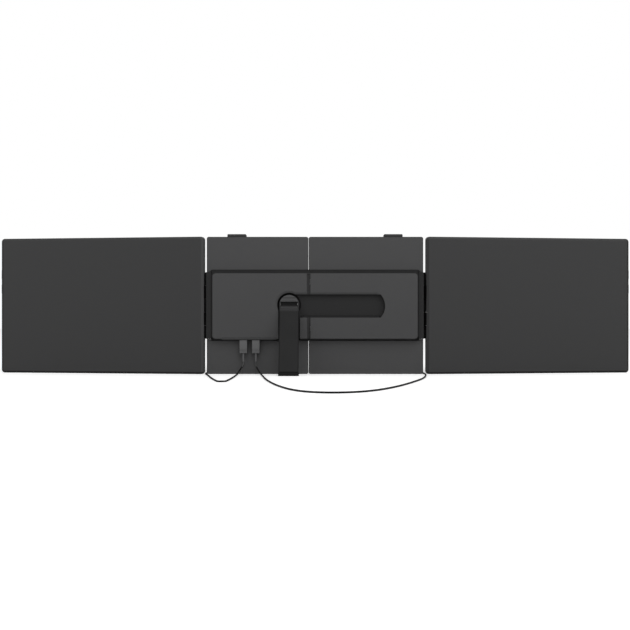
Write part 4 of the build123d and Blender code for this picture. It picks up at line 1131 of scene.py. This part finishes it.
class MONITOR_OT_hinges(bpy.types.Operator):
    """Finish the screen hinges and put steel washers between their knuckles"""

    bl_idname = "monitor.hinges"
    bl_label = "Hinges"

    KNUCKLES = 5
    # Radii of a washer, from just outside the pin's 1.6 mm
    WASHER_INNER = 1.72 * MM
    WASHER_OUTER = 3.9 * MM

    def washer(self, shape, place, thickness):
        """Add a flat ring round the pin to a shape."""
        inner, outer = self.WASHER_INNER, self.WASHER_OUTER
        rings = []
        for rise, radius in ((0, inner), (0, outer), (thickness, outer), (thickness, inner)):
            outline = rounded_outline(radius, radius, radius, 9)
            corners = [place + Vector((x, y, rise)) for x, y in outline]
            rings.append([shape.verts.new(corner) for corner in corners])
        for below, above in zip(rings, rings[1:] + rings[:1]):
            bridge(shape, below, above)

    def execute(self, context):
        colours, sizes = context.scene.monitor_colours, context.scene.monitor_sizes
        hinge = satin_paint("Hinge Paint", colours.hinge, 0.50, 0.20)
        dress(hinge, *both("hinge_bracket", "hinge_leaf"))
        steel = brushed_steel("Hinge Steel", "Z")
        dress(steel, *both("hinge_pin"))
        thickness = sizes.washer_thickness
        for side in SIDES:
            place = middle_of(f"{side}_hinge_pin")
            low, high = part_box(f"{side}_hinge_bracket")
            pitch = (high.z - low.z) / self.KNUCKLES
            shape = bmesh.new()
            for i in range(1, self.KNUCKLES):
                place.z = low.z + i * pitch - thickness / 2
                self.washer(shape, place, thickness)
            name = f"{side}_hinge_washers"
            mesh = mesh_of(name, shape)
            smooth(mesh)
            placed(linked(name, mesh), steel, HALF_OF[side])
        return {"FINISHED"}


class MONITOR_OT_kickstand(bpy.types.Operator):
    """Finish the turntable, its cap, the leg and the rubber foot"""

    bl_idname = "monitor.kickstand"
    bl_label = "Kickstand"

    def execute(self, context):
        colours = context.scene.monitor_colours
        dress(leg_paint("Leg Paint", colours.leg, colours.leg_bar_light), "kickstand_leg")
        dress(satin_paint("Turntable Paint", colours.disc, 0.44), "turntable_disc")
        dress(cap_paint("Cap Paint", colours.cap), "turntable_cap")
        dress(soft_rubber("Foot Rubber", colours.rubber), "kickstand_foot")
        dress(brushed_steel("Turntable Steel", "X"), "turntable_retainer", "kickstand_pin")
        return {"FINISHED"}


class MONITOR_OT_pads(bpy.types.Operator):
    """Make the ribbed rubber pads that lean on the laptop's lid"""

    bl_idname = "monitor.pads"
    bl_label = "Lid Pads"

    HEIGHTS = ((18 * MM, 48 * MM), (158 * MM, 188 * MM))
    CORNER = 3 * MM
    SOFT = 0.3 * MM
    MARGIN = 3.5 * MM

    def execute(self, context):
        colours, sizes = context.scene.monitor_colours, context.scene.monitor_sizes
        rubber = soft_rubber("Pad Rubber", colours.rubber)
        bars = bar_row(rubber)
        pitch, radius = sizes.rib_pitch, sizes.rib_radius
        for side in SIDES:
            low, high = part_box(f"{side}_lid_pads")
            x, half_x = (low.x + high.x) / 2, (high.x - low.x) / 2
            thickness = (high.y - low.y) - radius * 0.8
            count = int((2 * half_x - 2 * self.MARGIN) / pitch)
            for number, (bottom, top) in enumerate(self.HEIGHTS):
                middle = Matrix.Translation((x, low.y, (bottom + top) / 2))
                facing = middle @ Matrix.Rotation(-pi / 2, 4, "X")
                name = f"{side}_pad_{number + 1}"
                half_z = (top - bottom) / 2
                shape = cushion(half_x, half_z, thickness, self.CORNER, self.SOFT)
                replaced = [f"{side}_lid_pads"] if number == 0 else []
                mat = placed(skin(name, shape, facing), rubber, HALF_OF[side], replaced)
                rib_sizes = {
                    "Count": count,
                    "Pitch": pitch,
                    "Length": top - bottom - 2 * self.MARGIN,
                    "Bar Radius": radius,
                }
                first = x - (count - 1) * pitch / 2
                start = (first, low.y + thickness - 0.2 * radius, bottom + self.MARGIN)
                ribs = bars.grow(f"{name}_ribs", rib_sizes, Matrix.Translation(start))
                placed(ribs, rubber, HALF_OF[side])
        return {"FINISHED"}


class MONITOR_OT_hooks(bpy.types.Operator):
    """Finish the lid hooks and line them with rubber"""

    bl_idname = "monitor.hooks"
    bl_label = "Hooks"

    CORNER = 0.9 * MM
    SOFT = 0.25 * MM

    def execute(self, context):
        colours = context.scene.monitor_colours
        dress(satin_paint("Hook Paint", colours.black, 0.50), *both("hook"))
        rubber = soft_rubber("Hook Rubber", colours.rubber)
        for side in SIDES:
            low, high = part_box(f"{side}_hook_pad")
            half = (high - low) / 2
            middle = middle_of(f"{side}_hook_pad")
            back = Matrix.Translation((middle.x, high.y, middle.z))
            facing = back @ Matrix.Rotation(pi / 2, 4, "X")
            shape = cushion(half.x, half.z, high.y - low.y, self.CORNER, self.SOFT)
            lining = skin(f"{side}_hook_lining", shape, facing)
            placed(lining, rubber, f"{side}_hook", [f"{side}_hook_pad"])
        return {"FINISHED"}


class MONITOR_PT_panel(bpy.types.Panel):
    """The monitor's settings and steps"""

    bl_label = "Dual Portable Monitor"
    bl_idname = "MONITOR_PT_panel"
    bl_space_type = "VIEW_3D"
    bl_region_type = "UI"
    bl_category = "Monitor"

    def draw(self, context):
        column = self.layout.column()
        for step in STEPS:
            column.operator(step.bl_idname)
        for name in SETTINGS:
            group = getattr(context.scene, name)
            box = self.layout.box()
            for key in group.bl_rna.properties.keys():
                if key not in ("rna_type", "name"):
                    box.prop(group, key)


SETTINGS = {
    "monitor_colours": MonitorColours,
    "monitor_sizes": MonitorSizes,
    "monitor_stage": MonitorStage,
}
STEPS = [
    MONITOR_OT_stage,
    MONITOR_OT_plugs,
    MONITOR_OT_cables,
    MONITOR_OT_screens,
    MONITOR_OT_frame,
    MONITOR_OT_hinges,
    MONITOR_OT_kickstand,
    MONITOR_OT_pads,
    MONITOR_OT_hooks,
]


def register():
    for group in SETTINGS.values():
        bpy.utils.register_class(group)
    for name, group in SETTINGS.items():
        setattr(bpy.types.Scene, name, bpy.props.PointerProperty(type=group))
    for step in STEPS:
        bpy.utils.register_class(step)
    bpy.utils.register_class(MONITOR_PT_panel)


def unregister():
    bpy.utils.unregister_class(MONITOR_PT_panel)
    for step in reversed(STEPS):
        bpy.utils.unregister_class(step)
    for name, group in SETTINGS.items():
        delattr(bpy.types.Scene, name)
        bpy.utils.unregister_class(group)


def main():
    """Register the add-on and run each step in order."""
    register()
    for step in STEPS:
        group, name = step.bl_idname.split(".")
        getattr(getattr(bpy.ops, group), name)()


if __name__ == "__main__":
    main()
